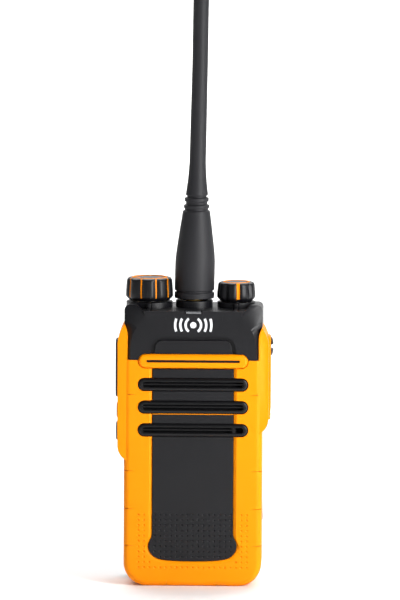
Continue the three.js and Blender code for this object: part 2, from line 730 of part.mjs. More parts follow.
function antennaWhip() {
  const bore = RADIATOR + GAP;
  const profile = [
    [4.8, ANTENNA_SEAT],
    [7.1, ANTENNA_SEAT],
    [7.7, ANTENNA_SEAT + 0.6],
    [7.7, 112.8],
    [7.1, 113],
    [7.1, 113.8],
    [7.55, 114.1],
    [7.55, 126],
    [6.6, 134],
    [6, 138.6],
    [5.15, 144.5],
    [4.6, 144.8],
    [4.6, 145.5],
    [4.95, 145.7],
    [4.95, 146.8],
    [4.1, 147],
    [4.1, 148.1],
    [4.65, 148.3],
    [4.65, 149.6],
    [3.8, 149.8],
    [3.8, 150.6],
    [4.25, 150.9],
    [3.5, 156],
    [3.1, 164],
    [3.05, ANTENNA_TIP - 2.5],
    [2.3, ANTENNA_TIP - 0.8],
    [0, ANTENNA_TIP],
    [0, ANTENNA_TIP - 5],
    [bore, ANTENNA_TIP - 5],
    [bore, 117],
    [4.8, 117],
    [4.8, ANTENNA_SEAT],
  ];
  return leanOver(turned(profile, FINE));
}

function antennaConnector() {
  return turned([
    [1.2, 100],
    [3.2, 100],
    [3.2, PLATFORM + 0.6],
    [5.2, PLATFORM + 0.6],
    [5.2, PLATFORM + 2],
    [3.2, PLATFORM + 2],
    [3.2, 113],
    [2.9, 113.3],
    [1.2, 113.3],
    [1.2, 100],
  ]);
}

// Brass insert in the whip's foot, threaded over the connector, with its centre pin.
function antennaStud() {
  return turned([
    [0, 107],
    [0.6, 107.4],
    [0.6, 113.9],
    [3.5, 113.9],
    [3.5, ANTENNA_SEAT + 0.4],
    [4.4, ANTENNA_SEAT + 0.4],
    [4.4, 115.4],
    [RADIATOR, 115.4],
    [0, 115.4],
  ]);
}

addPiece("antenna_whip", antennaWhip(), KEY_RUBBER);
addPiece("antenna_stud", antennaStud(), BRASS);
addPiece("antenna_radiator", leanOver(bar("z", RADIATOR, 116, ANTENNA_TIP - 6, [0, 0, 0], SMALL)), STEEL);
addPiece("antenna_connector", antennaConnector(), BRASS);

// ---- Side keys on the left ----

function sideKey({ low, high, out, width, stem }) {
  const lip = -LEFT_RAIL + 1;
  const flangeFront = lip + GAP;
  const flangeBack = flangeFront + KEY_FLANGE;
  const middle = (low + high) / 2;
  const dome = new THREE.Shape();
  dome.moveTo(flangeBack - 0.1, low);
  dome.lineTo(flangeBack - 0.1, high);
  dome.lineTo(-LEFT_RAIL + 0.5, high);
  dome.quadraticCurveTo(-out - (out - LEFT_RAIL), middle, -LEFT_RAIL + 0.5, low);
  const cap = slab(dome, SIDE_Y - width / 2, SIDE_Y + width / 2, 0.4);
  const reach = KEY_FLANGE - 0.3;
  const flange = box(
    [flangeFront, SIDE_Y - width / 2 - reach, low - reach],
    [flangeBack, SIDE_Y + width / 2 + reach, high + reach],
  );
  return join(cap, flange, bar("x", 1.5, flangeBack - 0.1, -HALF_WIDTH + 0.8, [0, SIDE_Y, stem], SMALL));
}

function sideKeySeal() {
  const strip = box(
    [-HALF_WIDTH + GAP, SIDE_Y - 4.6, 54.5],
    [-HALF_WIDTH + 1.1, SIDE_Y + 4.6, 84],
  );
  const stems = KEYS.map(({ stem }) => bar("x", 1.9, -HALF_WIDTH - 1, -HALF_WIDTH + 2, [0, SIDE_Y, stem], SMALL));
  return cut(strip, ...stems);
}

function tactSwitch(stem) {
  return join(
    box([-23.6, SIDE_Y - 2.2, stem - 2.2], [-21.4, SIDE_Y + 2.2, stem + 2.2]),
    bar("x", 0.9, -24.4, -23.5, [0, SIDE_Y, stem], SMALL),
  );
}

for (const key of KEYS) {
  addPiece(key.name, sideKey(key), KEY_RUBBER);
  const switchName = key.name === "ptt_button" ? "ptt_switch" : `${key.name}_switch`;
  addPiece(switchName, tactSwitch(key.stem), STEEL);
}
addPiece("side_key_seal", sideKeySeal(), KEY_RUBBER);

// ---- Accessory socket and its cover on the right ----

function accessorySocket() {
  const body = box([20, SIDE_Y - 3.3, 66.5], [COVER.inner - 0.6, SIDE_Y + 3.3, 86]);
  const holes = JACKS.map(({ z, radius }) => bar("x", radius, 21, 30, [0, SIDE_Y, z], ROUND));
  return cut(body, ...holes);
}

// The cover's plate has a round lower end, centred on stub pivots that sit in the rail.
function accessoryCover() {
  const pivotX = (COVER.inner + COVER.outer) / 2;
  const pivotZ = COVER.low + 1;
  const outline = roundedRect(COVER.inner, COVER.low, COVER.outer, COVER.high, 0.99, 0.6);
  const plate = slab(outline, SIDE_Y - COVER.halfDepth, SIDE_Y + COVER.halfDepth);
  const pivots = bar(
    "y",
    0.5,
    SIDE_Y - COVER.halfDepth - 1,
    SIDE_Y + COVER.halfDepth + 1,
    [pivotX, 0, pivotZ],
    SMALL,
  );
  const seat = bar("x", 4, COVER.outer - 0.6, COVER.outer + 1, [0, SIDE_Y, COVER.screwZ], ROUND);
  const hole = bar("x", 1.8, COVER.inner - 1, COVER.outer + 1, [0, SIDE_Y, COVER.screwZ], SMALL);
  return cut(join(plate, pivots), seat, hole);
}

// Domed thumb screw with a coin slot, drawn along +X from the bottom of the cover's seat.
function addCoverScrew() {
  const shank = 4.2;
  const dome = turned([
    [0, -shank],
    [1.5, -shank + 0.4],
    [1.5, 0],
    [3.7, 0],
    [3.7, 0.5],
    [2.9, 1],
    [1.5, 1.25],
    [0, 1.3],
  ]);
  const slot = box([-4, -0.9, 0.7], [4, 0.9, 3]);
  const screw = addPiece("cover_screw", cut(dome, slot), BLACK);
  screw.position.set(COVER.outer - 0.6 + GAP, SIDE_Y, COVER.screwZ);
  screw.rotation.y = Math.PI / 2;
}

addPiece("accessory_socket", accessorySocket(), BLACK);
addPiece("accessory_cover", accessoryCover(), ORANGE);
addCoverScrew();

// ---- Battery pack ----

function packOutline() {
  const { half, low, high } = PACK;
  return roundedRect(-half, low, half, high, CORNER, 4);
}

function batteryCase() {
  const { half, front, back, low, high, wall, edge } = PACK;
  const block = cut(slab(packOutline(), front - edge, back, edge), box([-40, -40, -5], [40, front, 120]));
  const grips = [-1, 1].map((side) => {
    const outer = side * (half + 1);
    const root = side * (half - 1);
    const wedge = polygon([
      [root, 24.5],
      [outer, 25],
      [outer - side * 0.5, 32],
      [root, 33],
    ]);
    return slab(wedge, 7, 13);
  });
  const cellRoom = box([-half + wall, front - 1, 21], [half - wall, back - wall, high - wall]);
  const lowRoom = box([-half + wall + 5, front - 1, 4.4], [half - wall - 5, 13, 21.1]);
  const lipRoom = box([-LIP.half - GAP, front - 1, -1], [LIP.half + GAP, back + 1, LIP.top + GAP]);
  const latchRoom = join(
    box(
      [-LATCH.half - GAP, LATCH.front - GAP, LATCH.low - GAP - 0.1],
      [LATCH.half + GAP, back + 1, LATCH.recessTop],
    ),
    box([-LIP.notch, LATCH.front - GAP, -1], [LIP.notch, back + 1, LATCH.low]),
  );
  const screwHoles = [68, 77].map((z) => bar("y", 1.1, back - 1.7, back + 1, [0, 0, z], SMALL));
  return cut(join(block, ...grips), cellRoom, lowRoom, lipRoom, latchRoom, ...screwHoles);
}

function batteryLid() {
  const { half, front, high, wall } = PACK;
  const x = half - wall - GAP;
  const plate = box([-x, front, 21 + GAP], [x, front + 1.4, high - wall - GAP]);
  const foot = box([-x + 5, front, 4.4 + GAP], [x - 5, front + 1.4, 21 + GAP + 0.1]);
  const tabs = [-12, 12].map((tabX) => box([tabX - 2.4, 1.6, 89.3], [tabX + 2.4, front + 0.1, 91.7]));
  const pads = box([-8.4, front - 1, 24.4], [8.4, front + 0.6, 30.6]);
  return cut(join(plate, foot, ...tabs), pads);
}

// A moulded strip holding three flat terminals.
function terminalStrip(front, thick, proud) {
  const strip = box([-8.1, front, 24.7], [8.1, front + thick, 30.3]);
  const pads = [-5, 0, 5].map((x) => box([x - 1.5, front - proud, 25.6], [x + 1.5, front + 0.1, 29.4]));
  return join(strip, ...pads);
}

function batteryLatch() {
  const { half, low, high, front, back } = LATCH;
  const plate = box([-half, front, low], [half, back, high]);
  const grips = [6.5, 8.5, 10.5, 12.5].map((z) => box([-half + 1.5, back - 0.4, z - 0.4], [half - 1.5, back + 1, z + 0.4]));
  const tongue = box([-LIP.notch + 0.4, PACK.back - 1.8, 0.6], [LIP.notch - 0.4, PACK.back - 0.2, low + 0.1]);
  const springBore = bar("z", 1.3, 11, high + 1, [0, 16.3, 0], SMALL);
  return cut(join(plate, tongue), ...grips, springBore);
}

class Helix extends THREE.Curve {
  constructor(radius, turns, from, to) {
    super();
    Object.assign(this, { radius, turns, from, to });
  }

  getPoint(t) {
    const angle = t * this.turns * Math.PI * 2;
    const z = this.from + (this.to - this.from) * t;
    return new THREE.Vector3(this.radius * Math.cos(angle), this.radius * Math.sin(angle), z);
  }
}

function latchSpring() {
  const wire = new THREE.Shape();
  wire.absarc(0, 0, 0.2, 0, Math.PI * 2);
  const turns = 6;
  const geometry = new THREE.ExtrudeGeometry(wire, {
    steps: turns * 8,
    curveSegments: 2,
    extrudePath: new Helix(0.8, turns, 11.5, LATCH.recessTop - 0.5),
  });
  return toSolid(geometry);
}

addPiece("battery_case", batteryCase(), BLACK);
addPiece("battery_lid", batteryLid(), BLACK);
addPiece("battery_cell", box([-20, 6.2, 24], [20, 14.6, 88]), CELL_WRAP);
addPiece("battery_board", box([-16, 8, 8], [16, 9.2, 19]), BOARD_GREEN);
addPiece("battery_terminals", terminalStrip(PACK.front + 0.05, 0.5, 0), BRASS);
addPiece("battery_latch", batteryLatch(), BLACK);
const spring = addPiece("latch_spring", latchSpring(), STEEL);
spring.position.y = 16.3;

// The radio's own spring contacts reach back through the chassis to the battery's terminals.
const contacts = join(
  box([-9, 0, 24], [9, CHASSIS_BACK, 31]),
  ...[-5, 0, 5].map((x) => box([x - 1, CHASSIS_BACK - 0.1, 26], [x + 1, PACK.front - 0.2, 29])),
);
addPiece("supply_contacts", contacts, BRASS);

// ---- Belt clip ----

function clipBracket() {
  const { half, low, high, back, pinY, pinZ } = CLIP;
  const plate = slab(roundedRect(-half, low, half, high, 2, 2), PACK.back + GAP, back);
  const ears = [-half + 0.9, half - 0.9].map((x) => {
    const ear = polygon([
      [back - 0.2, pinZ - 6],
      [pinY + 1.6, pinZ - 1.8],
      [pinY + 1.6, pinZ + 1.8],
      [back - 0.2, pinZ + 5],
    ]);
    return sideSlab(ear, x - 0.8, x + 0.8);
  });
  const pinHole = bar("x", 0.95, -half - 1, half + 1, [0, pinY, pinZ], SMALL);
  const holes = [68, 77].map((z) => bar("y", 1.6, 15, back + 1, [0, 0, z], SMALL));
  return cut(join(plate, ...ears), pinHole, ...holes);
}

// The lever in side view: thumb pad above the pivot, long arm below it, tip turned in to the battery's back.
function clipLever() {
  const { pinY, pinZ, outer, tip } = CLIP;
  const side = new THREE.Shape();
  side.moveTo(pinY + 1.2, pinZ + 10.5);
  side.lineTo(pinY + 2.8, pinZ + 10.5);
  side.quadraticCurveTo(outer, pinZ + 5, outer, pinZ - 4);
  side.lineTo(outer - 0.4, tip + 9);
  side.quadraticCurveTo(outer - 1.2, tip + 3, outer - 4.8, tip);
  side.lineTo(PACK.back + 1.8, tip + 1.2);
  side.quadraticCurveTo(PACK.back + 0.5, tip + 2, PACK.back + 0.5, tip + 3.2);
  side.lineTo(PACK.back + 1.2, tip + 4.2);
  side.quadraticCurveTo(outer - 3, tip + 5, outer - 2.4, tip + 12);
  side.lineTo(outer - 2, pinZ - 6);
  side.lineTo(pinY - 1.6, pinZ - 2.4);
  side.lineTo(pinY - 1.6, pinZ + 1.6);
  side.lineTo(pinY, pinZ + 2.4);
  const half = CLIP.half - 2.1;
  const arm = sideSlab(side, -half, half);
  const springRoom = box([-3.4, pinY - 3, pinZ - 2.7], [3.4, pinY + 2.6, pinZ + 2.7]);
  return cut(arm, bar("x", 1.2, -half - 1, half + 1, [0, pinY, pinZ], SMALL), springRoom);
}

addPiece("clip_bracket", clipBracket(), BLACK);
addPiece("clip_lever", clipLever(), BLACK);
const { half: clipHalf, pinY, pinZ } = CLIP;
addPiece("clip_pin", bar("x", 0.65, -clipHalf - 0.1, clipHalf + 0.1, [0, pinY, pinZ], SMALL), STEEL);
addPiece("clip_spring", ring("x", 1.9, 1.1, -2.9, 2.9, [0, pinY, pinZ], SMALL), STEEL);
[68, 77].forEach((z, i) => {
  addScrew(`clip_screw_${i + 1}`, screwSolid(2.4, 1.1, 0.8, 3.2), 0, CLIP.back + GAP, z);
});

export default radio;
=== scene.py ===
import math

import bmesh
import bpy
from mathutils import Matrix, Quaternion, Vector


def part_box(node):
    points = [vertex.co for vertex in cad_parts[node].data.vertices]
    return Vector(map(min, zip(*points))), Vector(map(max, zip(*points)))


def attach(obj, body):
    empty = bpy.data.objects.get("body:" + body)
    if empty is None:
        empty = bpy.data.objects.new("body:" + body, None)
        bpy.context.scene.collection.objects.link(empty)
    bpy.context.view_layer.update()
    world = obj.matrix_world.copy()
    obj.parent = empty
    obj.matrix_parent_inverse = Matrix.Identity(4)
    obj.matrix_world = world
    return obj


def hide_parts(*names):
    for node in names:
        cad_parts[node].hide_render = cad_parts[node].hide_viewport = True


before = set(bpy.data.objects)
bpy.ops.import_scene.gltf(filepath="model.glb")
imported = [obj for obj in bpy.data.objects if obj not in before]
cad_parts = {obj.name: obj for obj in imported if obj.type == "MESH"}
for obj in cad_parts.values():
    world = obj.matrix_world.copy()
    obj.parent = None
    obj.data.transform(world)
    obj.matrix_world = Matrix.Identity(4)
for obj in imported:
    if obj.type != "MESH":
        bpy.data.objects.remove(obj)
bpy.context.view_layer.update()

# ---- Orange shell ----
# The front half of the case: glass-filled polycarbonate, moulded in orange, with a recess for the black panel, a
# bumped-out rail down each side, and a lip at the bottom that the battery stands behind. The black head and panel
# are moulded separately and snapped and screwed to it.

MILLIMETRE = 0.001


def corners_of(node):
    """Lowest and highest corner of a CAD node, in millimetres."""
    low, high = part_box(node)
    return low / MILLIMETRE, high / MILLIMETRE


SHELL_LOW, SHELL_HIGH = corners_of("orange_housing")
HEAD_LOW, HEAD_HIGH = corners_of("head_housing")
PANEL_LOW, PANEL_HIGH = corners_of("grille_panel")
FACE = HEAD_LOW.y
HALF_WIDTH = HEAD_HIGH.x
WAIST = HEAD_LOW.z - 0.15
SHELL_BACK = 4.0
CASE_WALL = 2.0
SHELL_CORNER = 9.0
RAIL_MIDDLE = -4.2
RAIL_HALF_DEPTH = 7.2
PANEL_HALF = 15.65
PANEL_FLARE_HALF = 17.1
PANEL_BOTTOM = PANEL_LOW.z
PANEL_TOP = PANEL_HIGH.z
BEZEL_HALF = PANEL_HIGH.x
BEZEL_HEIGHT = 5.0
BEZEL_ROWS = (78.7, 69.9, 61.0)
TOP_BEZEL_Z = 87.8
TOP_BEZEL_HEIGHT = 5.5


class Wire:
    """One value socket of a shader, so that shader maths reads as arithmetic."""

    def __init__(self, tree, socket):
        self.tree = tree
        self.socket = socket

    def maths(self, operation, *values):
        node = self.tree.nodes.new("ShaderNodeMath")
        node.operation = operation
        for socket, value in zip(node.inputs, values):
            if isinstance(value, Wire):
                self.tree.links.new(value.socket, socket)
            else:
                socket.default_value = value
        return Wire(self.tree, node.outputs[0])

    def __add__(self, other):
        return self.maths("ADD", self, other)

    def __radd__(self, other):
        return self.maths("ADD", other, self)

    def __sub__(self, other):
        return self.maths("SUBTRACT", self, other)

    def __rsub__(self, other):
        return self.maths("SUBTRACT", other, self)

    def __mul__(self, other):
        return self.maths("MULTIPLY", self, other)

    def __rmul__(self, other):
        return self.maths("MULTIPLY", other, self)

    def above(self, edge):
        return self.maths("GREATER_THAN", self, edge)


class Finish:
    """A procedural material on the Principled shader, patterned in the object's own metres."""

    def __init__(self, name, **constants):
        self.material = bpy.data.materials.new(name)
        self.material.use_nodes = True
        self.tree = self.material.node_tree
        self.shader = self.tree.nodes["Principled BSDF"]
        for label, value in constants.items():
            self.shader.inputs[label.replace("_", " ")].default_value = value
        self.place = self.tree.nodes.new("ShaderNodeTexCoord").outputs["Object"]

    def node(self, kind, settings=(), **inputs):
        """Adds a node: its settings first, then values or links for its sockets."""
        made = self.tree.nodes.new(kind)
        for label, value in dict(settings).items():
            setattr(made, label, value)
        for label, value in inputs.items():
            socket = made.inputs[label.replace("_", " ")]
            if isinstance(value, Wire):
                self.tree.links.new(value.socket, socket)
            elif isinstance(value, bpy.types.NodeSocket):
                self.tree.links.new(value, socket)
            else:
                socket.default_value = value
        return made

    def grain(self, size, detail=2.0, stretch=(1, 1, 1)):
        """Noise whose blobs are about size metres across, from 0 to 1."""
        place = self.node("ShaderNodeMapping", Vector=self.place, Scale=stretch).outputs[0]
        noise = self.node("ShaderNodeTexNoise", Vector=place, Scale=1 / size, Detail=detail)
        return Wire(self.tree, noise.outputs["Fac"])

    def colours(self, amount, low, high):
        """A colour that goes from low to high as amount goes from 0 to 1."""
        mix = self.node("ShaderNodeMix", {"data_type": "RGBA"})
        self.tree.links.new(amount.socket, mix.inputs[0])
        for socket, value in ((mix.inputs[6], low), (mix.inputs[7], high)):
            if isinstance(value, bpy.types.NodeSocket):
                self.tree.links.new(value, socket)
            else:
                socket.default_value = (*value, 1)
        return mix.outputs[2]

    def feed(self, label, value):
        self.tree.links.new(value.socket if isinstance(value, Wire) else value, self.shader.inputs[label])
        return self

    def relief(self, height, depth, strength=1.0):
        """Bumps the surface by height times depth metres."""
        bump = self.node("ShaderNodeBump", Height=height, Strength=strength, Distance=depth)
        self.tree.links.new(bump.outputs[0], self.shader.inputs["Normal"])
        return self


def linear(red, green, blue):
    """A display colour from 0 to 255 as scene-linear values."""
    return tuple(((v / 255 + 0.055) / 1.055) ** 2.4 if v > 10 else v / 255 / 12.92 for v in (red, green, blue))


def moulded(name, low, high, roughness, texture, depth, spread=0.08, **constants):
    """Moulded plastic or rubber: spark-eroded texture, faint colour drift and a patchy gloss."""
    finish = Finish(name, **constants)
    drift = finish.grain(0.022, 3)
    texture_height = finish.grain(texture, 2)
    finish.feed("Base Color", finish.colours(drift, low, high))
    finish.feed("Roughness", roughness - spread / 2 + drift * spread + (texture_height - 0.5) * 0.1)
    finish.relief(texture_height, depth)
    return finish.material


ORANGE = moulded(
    "orange_shell",
    linear(254, 144, 0),
    linear(255, 150, 0),
    0.45,
    0.00022,
    0.00001,
    Specular_IOR_Level=0.12,
)


def arc(centre, radius, start, end, steps):
    """Points on an arc, from start to end in degrees."""
    turns = [math.radians(start + (end - start) * i / steps) for i in range(steps + 1)]
    return [(centre[0] + radius * math.cos(t), centre[1] + radius * math.sin(t)) for t in turns]


def sweep(p0, p1, p2, p3, steps=10):
    """Points on a cubic curve, without its last one."""
    points = []
    for i in range(steps):
        t = i / steps
        weights = ((1 - t) ** 3, 3 * t * (1 - t) ** 2, 3 * t * t * (1 - t), t**3)
        points.append(tuple(sum(w * p[k] for w, p in zip(weights, (p0, p1, p2, p3))) for k in (0, 1)))
    return points


def rounded_box(x0, z0, x1, z1, lower, upper, steps=12):
    """Outline of a rectangle with its lower and its upper corners rounded."""
    return [
        *(arc((x1 - lower, z0 + lower), lower, -90, 0, steps) if lower else [(x1, z0)]),
        *(arc((x1 - upper, z1 - upper), upper, 0, 90, steps) if upper else [(x1, z1)]),
        *(arc((x0 + upper, z1 - upper), upper, 90, 180, steps) if upper else [(x0, z1)]),
        *(arc((x0 + lower, z0 + lower), lower, 180, 270, steps) if lower else [(x0, z0)]),
    ]


def slot_outline(middle, half, height, steps=14):
    radius = height / 2
    return [
        *arc((half - radius, middle), radius, -90, 90, steps),
        *arc((-half + radius, middle), radius, 90, 270, steps),
    ]


def prism(outline, low, high, axis="y"):
    """A closed block: an outline drawn across an axis, extruded along it from low to high."""
    set_in = {"x": lambda u, v: (low, u, v), "y": lambda u, v: (u, low, v), "z": lambda u, v: (u, v, low)}[axis]
    along = {"x": Vector((1, 0, 0)), "y": Vector((0, 1, 0)), "z": Vector((0, 0, 1))}[axis]
    block = bmesh.new()
    face = block.faces.new([block.verts.new(set_in(u, v)) for u, v in outline])
    grown = bmesh.ops.extrude_face_region(block, geom=[face])["geom"]
    moved = [v for v in grown if isinstance(v, bmesh.types.BMVert)]
    bmesh.ops.translate(block, verts=moved, vec=along * (high - low))
    bmesh.ops.recalc_face_normals(block, faces=block.faces)
    return block


def cylinder(radius, low, high, axis="z", at=(0, 0), sides=48):
    return prism([(u, v) for u, v in arc(at, radius, 0, 360, sides)[:-1]], low, high, axis)


def round_edges(block, width, chosen, segments=5):
    """Rounds the edges that the test chooses."""
    edges = [e for e in block.edges if chosen(e)]
    bmesh.ops.bevel(
        block,
        geom=edges,
        offset=width,
        offset_type="OFFSET",
        segments=segments,
        profile=0.5,
        affect="EDGES",
        material=-1,
        clamp_overlap=True,
    )
    return block


def edge_at(axis, place, keep_off=None):
    """A test for edges that lie at a place along an axis, unless keep_off says no."""
    k = "xyz".index(axis)

    def test(edge):
        on = all(abs(v.co[k] - place) < 1e-3 for v in edge.verts)
        return on and not (keep_off and keep_off(edge))

    return test


def merged(*blocks):
    """Several separate closed blocks in one bmesh."""
    whole = bmesh.new()
    for block in blocks:
        mesh = bpy.data.meshes.new("part")
        block.to_mesh(mesh)
        block.free()
        whole.from_mesh(mesh)
        bpy.data.meshes.remove(mesh)
    return whole


def body_from(block, name="block"):
    mesh = bpy.data.meshes.new(name)
    block.to_mesh(mesh)
    block.free()
    made = bpy.data.objects.new(name, mesh)
    bpy.context.scene.collection.objects.link(made)
    return made


def bake_modifiers(body):
    graph = bpy.context.evaluated_depsgraph_get()
    mesh = bpy.data.meshes.new_from_object(body.evaluated_get(graph))
    old = body.data
    body.modifiers.clear()
    body.data = mesh
    bpy.data.meshes.remove(old)


def shape_with(body, operation, block):
    """Joins a block to a body, or cuts it out, and drops the block."""
    tool = body_from(block)
    cut = body.modifiers.new("tool", "BOOLEAN")
    cut.object = tool
    cut.operation = operation
    cut.solver = "EXACT"
    bake_modifiers(body)
    mesh = tool.data
    bpy.data.objects.remove(tool)
    bpy.data.meshes.remove(mesh)


def soften(body, width, segments=2, angle=35):
    """Breaks every sharp edge a little, as a mould does."""
    edge = body.modifiers.new("edge", "BEVEL")
    edge.width = width
    edge.segments = segments
    edge.limit_method = "ANGLE"
    edge.angle_limit = math.radians(angle)
    edge.use_clamp_overlap = True
    bake_modifiers(body)


def finished(body, name, material, rides, replaces=(), smooth=32):
    """Names a body, scales it to metres, paints it, and ties it to its CAD body and nodes."""
    body.name = name
    body.data.name = name
    body.data.transform(Matrix.Scale(MILLIMETRE, 4))
    body.data.materials.clear()
    body.data.materials.append(material)
    body.data.shade_smooth()
    body.data.set_sharp_from_angle(angle=math.radians(smooth))
    weighted = body.modifiers.new("weighted", "WEIGHTED_NORMAL")
    weighted.keep_sharp = True
    bake_modifiers(body)
    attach(body, rides)
    if replaces:
        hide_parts(*replaces)
    return body


RAIL_INNER = HALF_WIDTH - 1.4
RAIL_FRONT = FACE + 0.45
RAIL_BACK = RAIL_MIDDLE + RAIL_HALF_DEPTH


def rail_outline(side, outer, low, high, grow=0.0):
    """Front view of a side rail: a short taper at its foot, and a hooked slope up to its top."""
    inner = RAIL_INNER - grow
    points = [
        (inner, low - 3.0),
        *sweep((inner, low - 3.0), (HALF_WIDTH + 0.2, low - 2.2), (outer, low - 0.6), (outer, low + 3.2)),
        (outer, low + 3.2),
        *sweep((outer, high - 7.5), (outer - 0.1, high - 4.2), (HALF_WIDTH + 1.3, high - 2.0), (HALF_WIDTH, high + grow)),
        (HALF_WIDTH - 0.1, high + grow),
        *sweep((HALF_WIDTH - 0.1, high + grow), (inner + 0.5, high - 1.4), (inner, high - 3.0), (inner, high - 5.0), 8),
    ]
    placed = [(side * x, z) for x, z in points]
    return placed if side > 0 else placed[::-1]


def rail(side, outer, low, high):
    block = prism(rail_outline(side, outer, low, high), RAIL_FRONT, RAIL_BACK)

    def on_face(edge):
        same = abs(edge.verts[0].co.y - edge.verts[1].co.y) < 1e-3
        return same and all(abs(v.co.x) > HALF_WIDTH - 0.2 for v in edge.verts)

    def inner_edge(edge):
        front = all(abs(v.co.y - RAIL_FRONT) < 1e-3 for v in edge.verts)
        return front and all(abs(v.co.x) < RAIL_INNER + 0.3 for v in edge.verts)

    round_edges(block, 2.6, on_face, 8)
    return round_edges(block, 0.4, inner_edge, 3)


def panel_outline(grow):
    """Front view of the black panel: straight sides, a flared foot with round corners, a gently bowed bottom."""
    half = PANEL_HALF + grow
    flare = PANEL_FLARE_HALF + grow
    bottom = PANEL_BOTTOM - grow
    right = [
        *sweep((0, bottom), (flare * 0.4, bottom), (flare - 6.5, bottom + 0.35), (flare - 4.4, bottom + 0.8), 6),
        *sweep((flare - 4.4, bottom + 0.8), (flare - 2.0, bottom + 1.3), (flare - 0.1, bottom + 3.4), (flare, bottom + 6)),
        *sweep((flare, bottom + 6), (flare, bottom + 8.2), (half, bottom + 8.0), (half, bottom + 11.5)),
        (half, bottom + 11.5),
        (half, PANEL_TOP + grow),
    ]
    return right + [(-x, z) for x, z in right[:0:-1]]


def panel_tool(front, back, grow):
    """Cuts the recess that takes the panel and its three bezels."""
    blocks = [prism(panel_outline(grow), front, back)]
    blocks += [prism(slot_outline(z, BEZEL_HALF + grow, BEZEL_HEIGHT + 2 * grow), front, back) for z in BEZEL_ROWS]
    tool = body_from(blocks[0])
    for block in blocks[1:]:
        shape_with(tool, "UNION", block)
    made = bmesh.new()
    made.from_mesh(tool.data)
    bpy.data.objects.remove(tool)
    return made


DIMPLE_PITCH = (2.095, 2.058)
DIMPLE_TOP = 27.95
DIMPLE_ROWS = 11
DIMPLE_RADIUS = 0.56


def dimple_places(on_panel):
    """Middles of the grip dimples: a grid over the foot of the radio, left out round the panel's edge."""
    places = []
    for row in range(DIMPLE_ROWS):
        for column in range(-10, 11):
            inside = row < 9 and abs(column) <= 7
            outside = abs(column) >= 9 or (row == 9 and abs(column) >= 8) or row == 10
            if inside if on_panel else (outside and not inside):
                places.append((column * DIMPLE_PITCH[0], DIMPLE_TOP - row * DIMPLE_PITCH[1]))
    return places


def dimple_tool(places, surface, radius=DIMPLE_RADIUS):
    """Small balls sunk in a surface, one for each dimple."""
    tool = bmesh.new()
    for x, z in places:
        at = Matrix.Translation((x, surface - radius * 0.28, z))
        bmesh.ops.create_uvsphere(tool, u_segments=10, v_segments=6, radius=radius, matrix=at)
    return tool


def box_tool(low, high):
    outline = [(low[0], low[2]), (high[0], low[2]), (high[0], high[2]), (low[0], high[2])]
    return prism(outline, low[1], high[1])


KEY_SHOWN = 0.7


def front_shell():
    outline = rounded_box(-HALF_WIDTH, 0, HALF_WIDTH, WAIST, SHELL_CORNER, 0, 20)
    block = prism(outline, FACE, SHELL_BACK)
    round_edges(block, 2.4, edge_at("y", FACE, lambda e: all(v.co.z > WAIST - 0.01 for v in e.verts)), 7)
    shell = body_from(block)
    shape_with(shell, "UNION", rail(-1, -SHELL_LOW.x - KEY_SHOWN, 51.8, SHELL_HIGH.z))
    shape_with(shell, "UNION", rail(1, SHELL_HIGH.x, 62.5, 100.8))
    shape_with(shell, "UNION", box_tool((-14, 2, 0), (14, SHELL_HIGH.y, 1.8)))
    soften(shell, 0.35, 2)
    inner = rounded_box(-HALF_WIDTH + CASE_WALL, CASE_WALL, HALF_WIDTH - CASE_WALL, WAIST + 9, 7, 0)
    shape_with(shell, "DIFFERENCE", prism(inner, FACE + 2.5, SHELL_BACK + 2))
    return shell


orange = front_shell()

# Pockets for the side keys on the left, and for the socket cover on the right.
KEY_SPANS = ((72.2, 95.4, 8.4), (64.1, 70.4, 7.0), (55.4, 62.9, 7.0))
for low, high, width in KEY_SPANS:
    half = width / 2 + 0.3
    pocket = [(y + RAIL_MIDDLE, z) for y, z in rounded_box(-half, low - 0.3, half, high + 0.3, 1.2, 1.2, 6)]
    shape_with(orange, "DIFFERENCE", prism(pocket, -HALF_WIDTH - 6, -HALF_WIDTH - 0.2, "x"))
    seat = [(y + RAIL_MIDDLE, z) for y, z in rounded_box(-half - 0.7, low - 1, half + 0.7, high + 1, 1.2, 1.2, 6)]
    shape_with(orange, "DIFFERENCE", prism(seat, -28.9, -HALF_WIDTH - 0.2, "x"))
shape_with(orange, "DIFFERENCE", box_tool((-HALF_WIDTH - 1, -9.1, 54.2), (-HALF_WIDTH + 2.5, 0.7, 84.3)))
COVER_LOW, COVER_HIGH = corners_of("accessory_cover")
COVER_HALF = 4.9
pocket = rounded_box(-COVER_HALF, COVER_LOW.z - 0.3, COVER_HALF, COVER_HIGH.z + 0.3, 1.2, 3.6, 8)
pocket = [(y + RAIL_MIDDLE, z) for y, z in pocket]
shape_with(orange, "DIFFERENCE", prism(pocket, COVER_LOW.x - 0.3, 40, "x"))
pivot = (COVER_LOW.x + COVER_HIGH.x) / 2, COVER_LOW.z + 1
shape_with(orange, "DIFFERENCE", cylinder(0.8, -10.3, 1.9, "y", pivot, 24))
shape_with(orange, "DIFFERENCE", cylinder(2, HALF_WIDTH - 4, 40, "x", (RAIL_MIDDLE, 92.4), 32))
shape_with(orange, "DIFFERENCE", box_tool((HALF_WIDTH - 3, -7.8, 66.2), (40, -0.6, 86.3)))

